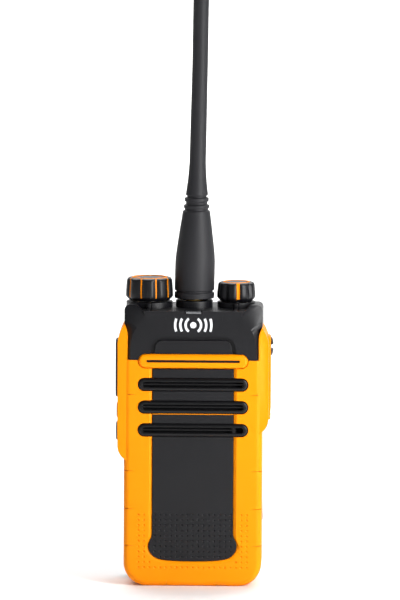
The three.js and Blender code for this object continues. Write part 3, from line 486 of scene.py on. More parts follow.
# The chamfered recess for the panel, the seat of the top bezel, and the speaker opening behind the slots.
shape_with(orange, "DIFFERENCE", panel_tool(FACE - 1, FACE + 1.5, 0.15))
RIM_DEPTH = 0.8
RIM_SPREAD = 1.3
rim = prism(panel_outline(RIM_SPREAD), FACE, FACE + RIM_DEPTH)
inner_rim = panel_outline(0.15)
for vert in rim.verts:
    if vert.co.y > FACE + RIM_DEPTH / 2:
        wide = panel_outline(RIM_SPREAD)
        nearest = min(range(len(wide)), key=lambda i: (wide[i][0] - vert.co.x) ** 2 + (wide[i][1] - vert.co.z) ** 2)
        vert.co.x, vert.co.z = inner_rim[nearest]
bmesh.ops.translate(rim, verts=rim.verts[:], vec=(0, -0.01, 0))
shape_with(orange, "DIFFERENCE", rim)
top_seat = slot_outline(TOP_BEZEL_Z, BEZEL_HALF + 0.15, TOP_BEZEL_HEIGHT + 0.3)
shape_with(orange, "DIFFERENCE", prism(top_seat, FACE - 1, FACE + 1.6))
RIB_Z = 67.2
for low, high in ((56.5, RIB_Z - 0.6), (RIB_Z + 0.6, 83)):
    shape_with(orange, "DIFFERENCE", box_tool((-20.2, FACE + 1.2, low), (20.2, FACE + 4, high)))
shape_with(orange, "UNION", box_tool((-15.6, FACE + 0.35, RIB_Z - 0.14), (15.6, FACE + 2, RIB_Z + 0.14)))

# Short witness grooves in from the side edges and up from the bottom edge, the latch notch, and the dimples.
for z, start in ((74.8, RAIL_INNER - 0.1), (45.0, 29.0), (30.2, 29.0), (15.9, 29.0)):
    half = 0.14 if start < HALF_WIDTH else 0.22
    for side in (-1, 1):
        line = [(side * start, z - half), (side * 21.9, z), (side * start, z + half)]
        shape_with(orange, "DIFFERENCE", prism(line, FACE - 1, FACE + 3))
for x in (-9.9, 9.6):
    notch = prism([(x - 0.3, -1), (x + 0.3, -1), (x, 2.6)], FACE - 1, FACE + 3)
    shape_with(orange, "DIFFERENCE", notch)
shape_with(orange, "DIFFERENCE", box_tool((-4, 15.2, -1), (4, 18.2, 3)))
shape_with(orange, "DIFFERENCE", dimple_tool(dimple_places(False), FACE))
finished(orange, "orange_shell", ORANGE, "root", ["orange_housing"])

# ---- Black head ----
# The top of the case: the same plastic in black, with a spark-eroded texture. It has a flat platform between two
# shoulders, a plinth for each knob and a collar for the antenna, and it hooks over the battery's top at the back.

SHOULDER = 109.6
PLATFORM = 107.2
PLINTH_TOP = 109.4
CHANNEL_X = -17.4
VOLUME_X = 16.3
LEDGE = 96.2
CROWN = 5.0
SHOULDER_FALL = 2.0

BLACK = moulded(
    "black_shell",
    linear(15, 15, 18),
    linear(20, 20, 24),
    0.38,
    0.00028,
    0.00004,
    Specular_IOR_Level=0.34,
)


def head_outline():
    half = HALF_WIDTH
    right = [
        (half, WAIST + 0.15),
        *arc((half - 2.2, SHOULDER - 2.2), 2.2, 0, 90, 8),
        *sweep((22.6, SHOULDER), (20.9, SHOULDER), (21.2, PLATFORM), (19.0, PLATFORM), 12),
        (19.0, PLATFORM),
    ]
    return right + [(-x, z) for x, z in right[::-1]]


FACET_DEPTH = 3.4


def facet_tool(side):
    """Slopes the head's front corner back, from a crease that curves in towards the shoulder."""
    crease = [
        (24.4, 80.0),
        *sweep((24.4, 90.0), (24.4, 96.0), (23.4, 99.8), (20.2, 102.4), 12),
        *sweep((20.2, 102.4), (19.0, 103.4), (18.5, 104.6), (18.6, 106.4), 4),
        (18.8, 110.5),
    ]
    corner = [
        (27.2, 80.0),
        *sweep((27.2, 93.0), (27.2, 99.0), (27.2, 103.5), (27.0, 107.0), 12),
        *sweep((27.0, 107.0), (26.5, 109.0), (25.0, 110.1), (22.5, 110.4), 4),
        (21.5, 110.5),
    ]
    far = [(34.0, 110.5), (34.0, 80.0)]
    front = [(side * x, z) for x, z in crease + far]
    back = [(side * x, z) for x, z in corner + far]
    tool = prism(front, FACE - 0.01, FACE + FACET_DEPTH)
    for vert in tool.verts:
        if vert.co.y > FACE + 1:
            at = min(range(len(front)), key=lambda i: math.dist(front[i], (vert.co.x, vert.co.z)))
            vert.co.x, vert.co.z = back[at]
    bmesh.ops.triangulate(tool, faces=[f for f in tool.faces if len(f.verts) == 4])
    bmesh.ops.recalc_face_normals(tool, faces=tool.faces)
    return tool


head = body_from(prism(head_outline(), FACE, HEAD_HIGH.y))
for vert in head.data.vertices:
    if vert.co.y > 0 and vert.co.z > PLATFORM + 0.01:
        vert.co.z -= SHOULDER_FALL * min(1.0, (abs(vert.co.x) - 19.0) / 3.6)
side_view = [
    (FACE, WAIST + 0.15),
    (SHELL_BACK, WAIST + 0.15),
    (SHELL_BACK, LEDGE),
    (HEAD_HIGH.y, LEDGE),
    *arc((HEAD_HIGH.y - CROWN, SHOULDER - CROWN), CROWN, 0, 90, 12),
    *arc((FACE + 1.4, SHOULDER - 1.4), 1.4, 90, 180, 6),
]
shape_with(head, "INTERSECT", prism(side_view, -40, 40, "x"))
for side in (-1, 1):
    shape_with(head, "DIFFERENCE", facet_tool(side))
soften(head, 0.45, 3, 34)
ceiling = PLATFORM - CASE_WALL
hollow = [
    (FACE + 2.5, 80),
    (FACE + 2.5, ceiling),
    (HEAD_HIGH.y - CROWN, ceiling),
    (HEAD_HIGH.y - CASE_WALL, SHOULDER - CROWN),
    (HEAD_HIGH.y - CASE_WALL, LEDGE + CASE_WALL),
    (SHELL_BACK + 0.3, LEDGE + CASE_WALL),
    (SHELL_BACK + 0.3, 80),
]
shape_with(head, "DIFFERENCE", prism(hollow, -HALF_WIDTH + CASE_WALL, HALF_WIDTH - CASE_WALL, "x"))


def plinth(x, radius):
    """Round foot under a knob, with a short index rib down its front and along the platform."""
    foot = body_from(round_edges(cylinder(radius, PLATFORM - 1, PLINTH_TOP, "z", (x, 0)), 0.3, edge_at("z", PLINTH_TOP), 3))
    half = 0.75
    front = -radius - 1.3
    shape_with(foot, "DIFFERENCE", box_tool((x - half - 0.35, -radius - 1, 100), (x + half + 0.35, -radius + 0.5, 120)))
    mark = prism(rounded_box(x - half, front, x + half, 0, 0.4, 0, 5), PLATFORM - 1, PLINTH_TOP, "z")
    shape_with(foot, "UNION", round_edges(mark, 0.25, edge_at("z", PLINTH_TOP), 3))
    mark = prism(rounded_box(x - half, FACE + 0.5, x + half, 0, 0.2, 0, 3), PLATFORM - 1, PLATFORM + 0.25, "z")
    shape_with(foot, "UNION", round_edges(mark, 0.15, edge_at("z", PLATFORM + 0.25), 2))
    made = bmesh.new()
    made.from_mesh(foot.data)
    bpy.data.objects.remove(foot)
    return made


for x, half in ((CHANNEL_X, 0.75), (VOLUME_X, 0.75)):
    for side in (-1, 1):
        middle = x + side * (half + 0.18)
        groove = box_tool((middle - 0.18, FACE + 0.5, PLATFORM - 0.35), (middle + 0.18, -5, PLATFORM + 1))
        shape_with(head, "DIFFERENCE", groove)
shape_with(head, "UNION", plinth(CHANNEL_X, 9.0))
shape_with(head, "UNION", plinth(VOLUME_X, 7.4))
collar = cylinder(7.2, PLATFORM - 1, PLINTH_TOP + 0.5, "z")
shape_with(head, "UNION", round_edges(collar, 0.4, edge_at("z", PLINTH_TOP + 0.5), 3))
for x in (CHANNEL_X, VOLUME_X):
    shape_with(head, "DIFFERENCE", cylinder(4.2, ceiling - 1, PLINTH_TOP + 1, "z", (x, 0), 32))
    shape_with(head, "DIFFERENCE", cylinder(5.9, PLATFORM + 0.3, PLINTH_TOP + 1, "z", (x, 0), 32))
shape_with(head, "DIFFERENCE", cylinder(3.5, ceiling - 1, PLATFORM + 4, "z", (0, 0), 32))
shape_with(head, "DIFFERENCE", cylinder(5.5, PLATFORM + 0.3, PLATFORM + 4, "z", (0, 0), 32))
shape_with(head, "DIFFERENCE", cylinder(2, HALF_WIDTH - 4, 40, "x", (RAIL_MIDDLE, 92.4), 32))
for side, high in ((-1, SHELL_HIGH.z), (1, 100.8)):
    room = rail_outline(side, HALF_WIDTH + 8, 62.5, high, 0.12)
    shape_with(head, "DIFFERENCE", prism(room, RAIL_FRONT - 3, RAIL_BACK + 0.12))

# Sunk frame over the speaker slots, with a slightly sunk field inside it, and two hairline sink marks above.
FIELD_TOP = 95.9
FRAME_WIDTH = 1.5
FRAME_DEPTH = 1.5


def frame_outline(half_low, half_top, top, radius):
    lean = math.degrees(math.atan2(top - 90, half_low - half_top))
    right = [(half_low, 89), *arc((half_top - radius, top - radius), radius, lean - 75, 90, 8)]
    return right + [(-x, z) for x, z in right[::-1]]


outer_frame = frame_outline(17.0, 16.2, FIELD_TOP + FRAME_WIDTH, 4.2)
shape_with(head, "DIFFERENCE", prism(outer_frame, FACE - 1, FACE + FRAME_DEPTH))
field = prism(frame_outline(15.4, 14.7, FIELD_TOP, 2.8), FACE + 0.3, FACE + 2)
shape_with(head, "UNION", round_edges(field, 0.18, edge_at("y", FACE + 0.3), 3))
shape_with(head, "DIFFERENCE", prism(top_seat, FACE - 1, FACE + 1.6))
for x in (-10.4, 11.4):
    shape_with(head, "DIFFERENCE", box_tool((x - 0.12, FACE - 1, 104.0), (x + 0.12, FACE + 0.15, 106.4)))

# Tapered notch in the platform's front edge for the status lens.
LENS_HALF = 3.0
notch = [(-3.7, 110), (-3.5, PLATFORM), (-LENS_HALF, 106.15), (LENS_HALF, 106.15), (3.5, PLATFORM), (3.7, 110)]
shape_with(head, "DIFFERENCE", prism(notch, FACE - 1, FACE + 3.4))
finished(head, "black_head", BLACK, "root", ["head_housing"])

# ---- Status lens ----
# A small clear acrylic light pipe pressed into the notch, lit by a lamp on the board beneath.

lens_block = prism(rounded_box(-LENS_HALF + 0.1, 106.25, LENS_HALF - 0.1, 106.95, 0.3, 0.3, 4), FACE + 0.15, FACE + 3)
lens_body = body_from(round_edges(lens_block, 0.15, edge_at("y", FACE + 0.15), 3))
clear = Finish("clear_lens", Roughness=0.18, IOR=1.49, Transmission_Weight=0.35)
haze = clear.grain(0.0012, 2)
clear.feed("Base Color", clear.colours(haze, linear(120, 121, 124), linear(150, 152, 155)))
finished(lens_body, "status_lens", clear.material, "root", ["led_lens"])

# ---- Sign on the head ----
# A plain wave sign, pad-printed in white ink: a dot between two pairs of arcs.

INK = Finish("white_ink", Roughness=0.55)
INK.feed("Base Color", INK.colours(INK.grain(0.0006, 2), linear(236, 238, 242), linear(250, 251, 255)))
SIGN_Z = 101.9
SIGN_LINE = 0.9


SIGN_RISE = 2.45


def arc_band(radius, middle):
    """One thick arc of the sign, as a closed outline. All the arcs end at the same height."""
    spread = math.degrees(math.asin(SIGN_RISE / radius))
    outer = arc((0, SIGN_Z), radius + SIGN_LINE / 2, middle - spread, middle + spread, 14)
    inner = arc((0, SIGN_Z), radius - SIGN_LINE / 2, middle + spread, middle - spread, 14)
    return outer + inner


bands = [prism(arc_band(radius, middle), FACE - 0.02, FACE + 0.1) for radius in (3.0, 5.0, 7.0) for middle in (0, 180)]
sign = body_from(merged(cylinder(1.2, FACE - 0.02, FACE + 0.1, "y", (0, SIGN_Z), 32), *bands))
finished(sign, "wave_sign", INK.material, "root")

# ---- Black front panel ----
# One black moulding that carries the grille: three slots with raised half-round bezels, which wrap over the orange
# shell at both sides, and a long plain field whose foot has grip dimples. It is welded into the shell's recess.

PANEL_FACE = FACE + 0.2
SLOT_HALF = 19.5
SLOT_HEIGHT = 2.1
BEZEL_FRONT = PANEL_LOW.y

panel = body_from(round_edges(prism(panel_outline(0), PANEL_FACE, PANEL_HIGH.y), 0.25, edge_at("y", PANEL_FACE), 3))


def bezel_block(middle, half, height, front, back, outer, steps=16):
    return round_edges(prism(slot_outline(middle, half, height, steps), front, back), outer, edge_at("y", front), 6)


for z in BEZEL_ROWS:
    moat = prism(slot_outline(z, BEZEL_HALF, BEZEL_HEIGHT + 0.5), PANEL_FACE - 1, PANEL_FACE + 0.45)
    shape_with(panel, "DIFFERENCE", moat)
    shape_with(panel, "DIFFERENCE", prism(slot_outline(z, SLOT_HALF, SLOT_HEIGHT), FACE - 2, FACE + 3))
shape_with(panel, "DIFFERENCE", box_tool((-15.7, FACE - 1, RIB_Z - 0.22), (15.7, FACE + 3, RIB_Z + 0.22)))
shape_with(panel, "DIFFERENCE", dimple_tool(dimple_places(True), PANEL_FACE))
finished(panel, "black_panel", BLACK, "root", ["grille_panel"])

# The bezel rings are the panel's black plastic in a glossier finish. Their base colour is set darker than the panel's:
# the gloss is real, and the darker colour is painted shade for their slopes.
SHADED_RING_BLACK = moulded(
    "ring_black_painted_shade",
    linear(11, 11, 13),
    linear(15, 15, 17),
    0.3,
    0.0004,
    0.000006,
    Specular_IOR_Level=0.3,
)
BRIDGE = (15.3, 16.4)
CREST = 1.55
for row, z in enumerate(BEZEL_ROWS):
    ring = body_from(prism(slot_outline(z, BEZEL_HALF, BEZEL_HEIGHT, 20), FACE + 0.75, PANEL_HIGH.y - 0.05))
    wide = prism(slot_outline(z, BEZEL_HALF, BEZEL_HEIGHT, 20), BEZEL_FRONT, FACE + 0.8)
    drop = BEZEL_HEIGHT / 2 - CREST
    crown = round_edges(wide, drop, edge_at("y", BEZEL_FRONT), 7)
    shape_with(ring, "UNION", crown)
    lead_in = prism(slot_outline(z, SLOT_HALF + 0.25, SLOT_HEIGHT + 0.5, 20), BEZEL_FRONT - 1, FACE + 1)
    mouth = round_edges(lead_in, 0.2, edge_at("y", FACE + 1), 2)
    bmesh.ops.translate(mouth, verts=mouth.verts, vec=(0, -0.75, 0))
    shape_with(ring, "DIFFERENCE", mouth)
    shape_with(ring, "DIFFERENCE", prism(slot_outline(z, SLOT_HALF, SLOT_HEIGHT, 20), FACE - 2, FACE + 3))
    strip_end = BRIDGE[0] if row == 2 else SLOT_HALF
    shape_with(ring, "UNION", box_tool((-SLOT_HALF, FACE + 0.7, z - 0.22), (strip_end, PANEL_HIGH.y - 0.1, z + 0.22)))
    if row == 2:
        bar = box_tool((BRIDGE[0], BEZEL_FRONT + 0.4, z - 1.2), (BRIDGE[1], PANEL_HIGH.y - 0.1, z + 1.2))
        shape_with(ring, "UNION", bar)
    finished(ring, f"slot_ring_{row + 1}", SHADED_RING_BLACK, "root", ())

# ---- Orange top bezel ----
# A matching bezel in orange that bridges the joint of shell and head, with a blind slot.

bezel = body_from(bezel_block(TOP_BEZEL_Z, BEZEL_HALF, TOP_BEZEL_HEIGHT, BEZEL_FRONT, FACE + 1.5, 1.3))
slot_cut = slot_outline(TOP_BEZEL_Z, 18.1, 1.05)
shape_with(bezel, "DIFFERENCE", prism(slot_cut, FACE - 1, FACE + 0.9))
finished(bezel, "orange_bezel", ORANGE, "root", ["top_slot_bezel"])
# A thin black sheet at the bottom of the blind slot is painted shade: it darkens the slot where only shadow falls.
dark_slot = prism(slot_outline(TOP_BEZEL_Z, 18.0, 0.95), FACE + 0.5, FACE + 0.85)
finished(body_from(dark_slot), "bezel_slot_shade_sheet", BLACK, "root")

# ---- Control knobs ----
# Two-shot knobs on the encoder and the volume switch: a black skirt with nine soft lobes over an orange core. The
# core shows as a thin ring at the top and as lines in the lobes' valleys, and a textured black disc closes the top.

LOBES = 9
VALLEY = 0.75
KNOB_DROP = 0.3


def turned(profile, steps=64, closed=False):
    """Spins a profile of radius and height round the Z axis."""
    block = bmesh.new()
    line = [block.verts.new((radius, 0, z)) for radius, z in profile]
    pairs = list(zip(line, line[1:])) + ([(line[-1], line[0])] if closed else [])
    edges = [block.edges.new(pair) for pair in pairs]
    around = {"cent": (0, 0, 0), "axis": (0, 0, 1), "dvec": (0, 0, 0)}
    bmesh.ops.spin(block, geom=line + edges, angle=2 * math.pi, steps=steps, use_merge=True, **around)
    bmesh.ops.remove_doubles(block, verts=block.verts, dist=1e-4)
    bmesh.ops.recalc_face_normals(block, faces=block.faces)
    return block


def lobed(block, first_valley, low, high):
    """Presses the valleys between the lobes into a turned block, fading out above high and below low."""
    for vert in block.verts:
        radius = math.hypot(vert.co.x, vert.co.y)
        if radius < 1e-3:
            continue
        turn = math.atan2(vert.co.y, vert.co.x) - math.radians(first_valley - 90)
        depth = VALLEY * abs(math.cos(turn * LOBES / 2)) ** 5
        depth *= min(1, max(0, (high - vert.co.z) / 1.2), 1) * min(1, max(0.35, (vert.co.z - low) / 1.6))
        vert.co.x *= 1 - depth / radius
        vert.co.y *= 1 - depth / radius
    return block


def skirt_line(radius, ring, base, top):
    """Outer face of a knob's skirt, from its top inner edge down to its foot."""
    return [
        (ring, top),
        *sweep((ring + 0.25, top + 0.05), (radius - 0.75, top), (radius - 0.4, top - 0.5), (radius - 0.3, top - 1.6), 7),
        *sweep((radius - 0.3, top - 1.6), (radius - 0.15, top - 3.4), (radius, base + 3.6), (radius, base + 2.6), 6),
        (radius, base + 1.7),
        (radius - 0.25, base + 1.2),
        (radius - 1.25, base + 0.2),
        (radius - 1.6, base),
    ]


def knob(name, x, radius, ring, first_valley, rib_count, rib_width, dome):
    low, high = corners_of(name)
    disc_top = corners_of(name + "_disc")[1].z
    base, top = low.z - KNOB_DROP, disc_top - 0.35
    outer = skirt_line(radius, ring, base, top)
    inner = [(radius - 2.4, base), (radius - 2.4, base + 0.9), (ring - 0.6, base + 1.1), (ring - 0.6, top - 1.2)]
    skirt = lobed(turned(outer + inner + [(ring, top - 1.2)], 180, True), first_valley, base, top)
    bmesh.ops.translate(skirt, verts=skirt.verts, vec=(x, 0, 0))
    finished(body_from(skirt), name + "_skirt", BLACK, name, [name], 40)

    core = body_from(
        turned(
            [
                (3.1, base + 1.3),
                (ring - 0.7, base + 1.3),
                (ring - 0.7, top - 1.4),
                (ring + 0.05, top - 1.0),
                (ring + 0.05, top + 0.05),
                (ring - 0.1, top + 0.2),
                (ring - 0.5, top + 0.2),
                (ring - 0.65, top + 0.05),
                (ring - 0.65, top - 0.9),
                (3.1, top - 0.9),
            ],
            96,
            True,
        )
    )
    rib_face = [(r + 0.1, z + 0.05) for r, z in outer]
    rib_face = [(r, max(z, base + 0.75)) for r, z in rib_face if z > base + 0.3]
    for i in range(rib_count):
        turn = first_valley + i * 360 / LOBES
        rib_front = rounded_box(-rib_width / 2, base + 0.75, rib_width / 2, top, rib_width * 0.45, 0, 5)
        rib = body_from(prism(rib_front, -radius - 1, -4))
        shell = lobed(turned([(0, top), *rib_face, (0, base + 0.75)], 180), first_valley - turn, base, top)
        shape_with(rib, "INTERSECT", shell)
        cut = bmesh.new()
        cut.from_mesh(rib.data)
        bpy.data.objects.remove(rib)
        bmesh.ops.rotate(cut, verts=cut.verts, cent=(0, 0, 0), matrix=Matrix.Rotation(math.radians(turn), 3, "Z"))
        shape_with(core, "UNION", cut)
    core.data.transform(Matrix.Translation((x, 0, 0)))
    finished(core, name + "_inner", ORANGE, name, [name + "_core"])

    rise = 0.3 if dome else 0.0
    disc_line = [(0, disc_top - 0.35 + rise), (ring * 0.4, disc_top - 0.37 + rise * 0.9)]
    disc_line += [(ring * 0.7, disc_top - 0.4 + rise * 0.5), (ring - 0.7, disc_top - 0.5), (ring - 0.7, top - 0.85)]
    disc = turned(disc_line + [(0, top - 0.85)], 72)
    bmesh.ops.translate(disc, verts=disc.verts, vec=(x, 0, 0))
    finished(body_from(disc), name + "_cap", CAP, name, [name + "_disc"])


CAP = moulded("cap_texture", linear(58, 58, 60), linear(84, 84, 86), 0.55, 0.0006, 0.00012, Specular_IOR_Level=0.4)
knob("channel_knob", CHANNEL_X, 9.2, 6.9, -61.0, LOBES, 0.48, False)
knob("volume_knob", VOLUME_X, 7.5, 5.2, 6.9, 1, 1.25, True)

# ---- Antenna ----
# A helical VHF whip: a steel radiator on a brass stud, over-moulded in matte rubber with a waist of strain-relief
# rings. It screws onto the head's connector, and the flexible rubber leans a little to the right.

RUBBER = moulded("antenna_rubber", linear(34, 34, 37), linear(39, 39, 42), 0.55, 0.00045, 0.00004, Specular_IOR_Level=0.3)
WHIP_BASE = corners_of("antenna_whip")[0].z
WHIP_TIP = corners_of("antenna_whip")[1].z - 0.05
LEAN_START = 113.1
LEAN = math.tan(math.radians(1.2))
RELAX_START = 190.0
RELAX = 0.00015
SOCKET = 4.8
SOCKET_DEEP = 6.4
BORE = 1.3


def ring_bump(low, high, radius, steps=4):
    """Side view of a ring with rounded edges."""
    edge = 0.3
    lower = arc((radius - edge, low + edge), edge, -90, 0, steps)
    return lower + arc((radius - edge, high - edge), edge, 0, 90, steps)


whip_line = [
    (SOCKET, WHIP_BASE),
    (7.2, WHIP_BASE),
    *arc((7.3, 111.0), 0.4, -90, 0, 4),
    *arc((7.3, 112.5), 0.4, 0, 80, 4),
    (7.05, 113.0),
    (7.05, 113.6),
    *arc((7.35, 114.0), 0.35, -80, 0, 4),
    (7.7, 119.0),
    *sweep((7.7, 123.5), (7.7, 128.0), (6.75, 133.0), (6.15, 138.6), 10),
    (5.3, 144.3),
    (5.1, 144.6),
    (4.6, 144.8),
    (4.55, 145.5),
    *ring_bump(145.6, 146.9, 4.95),
    (4.15, 147.1),
    (4.15, 148.0),
    *ring_bump(148.2, 149.7, 4.65),
    (3.8, 149.9),
    (3.8, 150.5),
    *arc((3.95, 150.9), 0.35, -70, 10, 4),
    *sweep((4.28, 151.3), (3.8, 154.5), (3.3, 159.0), (3.12, 166.0), 8),
    (3.05, 200.0),
    (3.05, 235.0),
    (3.05, WHIP_TIP - 2.6),
    *arc((0.6, WHIP_TIP - 2.45), 2.45, 0, 90, 8),
    (0, WHIP_TIP),
]
inside_line = [(0, 266.0), (BORE, 266.0), (BORE, WHIP_BASE + SOCKET_DEEP), (SOCKET, WHIP_BASE + SOCKET_DEEP)]
whip = turned(whip_line[:] + inside_line, 72, True)
for vert in whip.verts:
    rise = max(0.0, vert.co.z - LEAN_START)
    vert.co.x += rise * LEAN - RELAX * max(0.0, vert.co.z - RELAX_START) ** 2
finished(body_from(whip), "antenna_rubber_whip", RUBBER, "antenna", ["antenna_whip"], 48)

# ---- Side keys ----
# The push-to-talk bar and two smaller keys: one-piece keys of matte rubber over stems, held in the left rail. Each
# has a soft crown, and ribs or a mark on its face that a gloved thumb can feel.

KEY_RUBBER = moulded("key_rubber", linear(30, 30, 33), linear(36, 36, 39), 0.6, 0.0004, 0.00005)
KEY_SEAT = -27.85


def key_body(node, half, low, high, corner):
    """A key's cap with a crowned face, on its flange."""
    node_low, node_high = corners_of(node)
    face = node_low.x
    side = [(y + RAIL_MIDDLE, z) for y, z in rounded_box(-half, low, half, high, corner, corner, 8)]
    cap = body_from(round_edges(prism(side, face, KEY_SEAT, "x"), 0.7, edge_at("x", face), 5))
    flange = [
        (y + RAIL_MIDDLE, z) for y, z in rounded_box(-half - 0.35, low - 0.35, half + 0.35, high + 0.35, corner, corner, 8)
    ]
    shape_with(cap, "UNION", prism(flange, -28.6, KEY_SEAT, "x"))
    return cap, face


ptt, face = key_body("ptt_button", 4.15, 72.4, 95.2, 3.0)
dish = [(y + RAIL_MIDDLE, z) for y, z in rounded_box(-2.9, 74.6, 2.9, 93.0, 2.2, 2.2, 8)]
shape_with(ptt, "DIFFERENCE", round_edges(prism(dish, face - 1, face + 0.35, "x"), 0.25, edge_at("x", face + 0.35), 3))
for z in [77.0 + 1.7 * i for i in range(9)]:
    bar = [(y + RAIL_MIDDLE, height) for y, height in rounded_box(-2.1, z - 0.4, 2.1, z + 0.4, 0.38, 0.38, 5)]
    shape_with(ptt, "UNION", round_edges(prism(bar, face + 0.05, face + 0.8, "x"), 0.2, edge_at("x", face + 0.05), 2))
finished(ptt, "ptt_bar", KEY_RUBBER, "ptt", ["ptt_button"])

for node, body, low, high, marks in (
    ("side_key_1", "key_1", 64.2, 70.3, (-1.2, 0.0, 1.2)),
    ("side_key_2", "key_2", 55.5, 62.8, (0.0,)),
):
    key, face = key_body(node, 3.45, low, high, 2.2)
    middle = (low + high) / 2
    for offset in marks:
        pip = cylinder(0.42, face - 0.0, face + 0.6, "x", (RAIL_MIDDLE + offset, middle), 20)
        ring = cylinder(0.8, face - 0.5, face + 0.22, "x", (RAIL_MIDDLE + offset, middle), 24)
        if len(marks) == 1:
            shape_with(key, "DIFFERENCE", cylinder(1.5, face - 0.5, face + 0.25, "x", (RAIL_MIDDLE, middle), 32))
            pip.free()
            ring.free()
            continue
        shape_with(key, "DIFFERENCE", ring) if offset == 0 else ring.free()
        shape_with(key, "UNION", round_edges(pip, 0.15, edge_at("x", face), 2))
    finished(key, node + "_cap", KEY_RUBBER, body, [node])

# ---- Socket cover ----
# The orange cover over the accessory socket, in the right rail. It swings down on two stub pivots at its round lower
# end, and a slotted black thumb screw holds its upper end.

COVER_SCREW_Z = 92.4
COVER_FACE = COVER_HIGH.x - 0.4
PIVOT_RADIUS = 0.5
cover_side = [
    (COVER_LOW.x, COVER_LOW.z + 1.0),
    *arc(pivot, 0.95, 180, 300, 8),
    *sweep((COVER_FACE - 0.55, COVER_LOW.z + 1.2), (COVER_FACE, 66.4), (COVER_FACE, 68.6), (COVER_FACE, 70.6), 8),
    (COVER_FACE - 0.0, 74),
    (COVER_FACE - 0.0, COVER_HIGH.z - 1.6),
    *arc((COVER_FACE - 1.4, COVER_HIGH.z - 1.4), 1.4, 0, 90, 6),
    (COVER_LOW.x, COVER_HIGH.z),
]
cover = prism(cover_side, RAIL_MIDDLE - 4.6, RAIL_MIDDLE + 4.6)
cover = body_from(cover)
cover_front = rounded_box(-4.6, COVER_LOW.z, 4.6, COVER_HIGH.z, 0.8, 3.4, 8)
cover_front = [(y + RAIL_MIDDLE, z) for y, z in cover_front]
shape_with(cover, "INTERSECT", prism(cover_front, 20, 40, "x"))
soften(cover, 0.4, 3, 40)
shape_with(cover, "UNION", cylinder(PIVOT_RADIUS, RAIL_MIDDLE - 5.5, RAIL_MIDDLE + 5.5, "y", pivot, 24))
shape_with(cover, "DIFFERENCE", cylinder(2.1, 20, 40, "x", (RAIL_MIDDLE, COVER_SCREW_Z), 40))
seat = cylinder(3.95, COVER_FACE - 0.55, 40, "x", (RAIL_MIDDLE, COVER_SCREW_Z), 48)
shape_with(cover, "DIFFERENCE", seat)
for z in [71.2 + 1.9 * i for i in range(4)]:
    line = [(y + RAIL_MIDDLE, height) for y, height in rounded_box(-3.0, z - 0.3, 3.0, z + 0.3, 0.28, 0.28, 4)]
    shape_with(cover, "DIFFERENCE", prism(line, COVER_FACE - 0.3, 40, "x"))
finished(cover, "socket_cover_leaf", ORANGE, "socket_cover", ["accessory_cover"])

SCREW_LOW, SCREW_HIGH = corners_of("cover_screw")
SCREW_TOP = SCREW_HIGH.x - 0.4
dome = turned(
    [
        (0, SCREW_LOW.x),
        (1.7, SCREW_LOW.x),
        (1.7, COVER_FACE - 0.5),
        (3.6, COVER_FACE - 0.5),
        *arc((3.3, COVER_FACE - 0.1), 0.38, -50, 40, 4),
        *sweep((3.5, COVER_FACE + 0.2), (3.2, SCREW_TOP - 0.3), (2.0, SCREW_TOP), (0, SCREW_TOP), 8),
        (0, SCREW_TOP),
    ],
    64,
)
onto_x = Matrix(((0, 0, 1), (0, 1, 0), (-1, 0, 0)))
bmesh.ops.transform(dome, verts=dome.verts, matrix=onto_x.to_4x4())
bmesh.ops.translate(dome, verts=dome.verts, vec=(0, RAIL_MIDDLE, COVER_SCREW_Z))
screw = body_from(dome)
slot_box = box_tool((COVER_FACE + 0.05, RAIL_MIDDLE - 5, COVER_SCREW_Z - 1.0), (40, RAIL_MIDDLE + 5, COVER_SCREW_Z + 1.0))
shape_with(screw, "DIFFERENCE", slot_box)
soften(screw, 0.12, 2, 50)
finished(screw, "thumb_screw", BLACK, "cover_screw", ["cover_screw"])

# ---- Battery case ----
# The battery's outer shell, in the head's black plastic: it slides up under the head's hook and latches at the foot.
# It has a framed label field, grip ribs down both edges and a finger ledge on each side. The clip's plate screws on.

PACK_LOW, PACK_HIGH = corners_of("battery_case")
PACK_HALF = 26.2
PACK_FRONT = PACK_LOW.y
PACK_BACK = PACK_HIGH.y
LEDGE_PROUD = 0.6
LATCH_LOW, LATCH_HIGH = corners_of("battery_latch")
LATCH_TOP = 19.6
CLIP_LOW, CLIP_HIGH = corners_of("clip_bracket")
SCREW_ROWS = (68, 77)


def taper(body, half, share):
    """Draws a body's sides in a little towards its back, as a mould needs."""
    for vert in body.data.vertices:
        depth = max(0.0, vert.co.y - PACK_FRONT) / (PACK_BACK - PACK_FRONT)
        vert.co.x *= 1 - share / half * depth


case = rounded_box(-PACK_HALF, PACK_LOW.z, PACK_HALF, PACK_HIGH.z, SHELL_CORNER, 4, 16)
case = round_edges(prism(case, PACK_FRONT, PACK_BACK), 2.8, edge_at("y", PACK_BACK), 7)
case = body_from(case)
taper(case, PACK_HALF, 0.6)
for side in (-1, 1):
    ledge = [(side * (PACK_HALF - 1), 22.4), (side * (PACK_HALF + LEDGE_PROUD), 23.0)]
    ledge += [(side * (PACK_HALF + LEDGE_PROUD - 0.2), 31.0), (side * (PACK_HALF - 1), 32.2)]
    shape_with(case, "UNION", prism(ledge, 6.5, 12.5))
    tongue = sorted((side * (PACK_HALF - 1.7), side * (PACK_HALF - 0.7)))
    shape_with(case, "UNION", box_tool((tongue[0], SHELL_BACK + 0.07, 9), (tongue[1], PACK_FRONT + 1, 93)))
soften(case, 0.3, 2, 40)
frame_line = rounded_box(-22.2, 22.6, 22.2, 92.6, 2.4, 2.4, 8)
shape_with(case, "DIFFERENCE", round_edges(prism(frame_line, PACK_BACK - 0.35, 30), 0.2, edge_at("y", PACK_BACK - 0.35)))
pad = round_edges(prism(rounded_box(-10.4, 59.6, 10.4, 91.6, 2, 2, 8), 12, PACK_BACK), 0.35, edge_at("y", PACK_BACK), 3)
shape_with(case, "UNION", pad)
label = prism(rounded_box(-17.6, 26, 17.6, 54, 1.2, 1.2, 6), PACK_BACK - 0.6, 30)
shape_with(case, "DIFFERENCE", label)
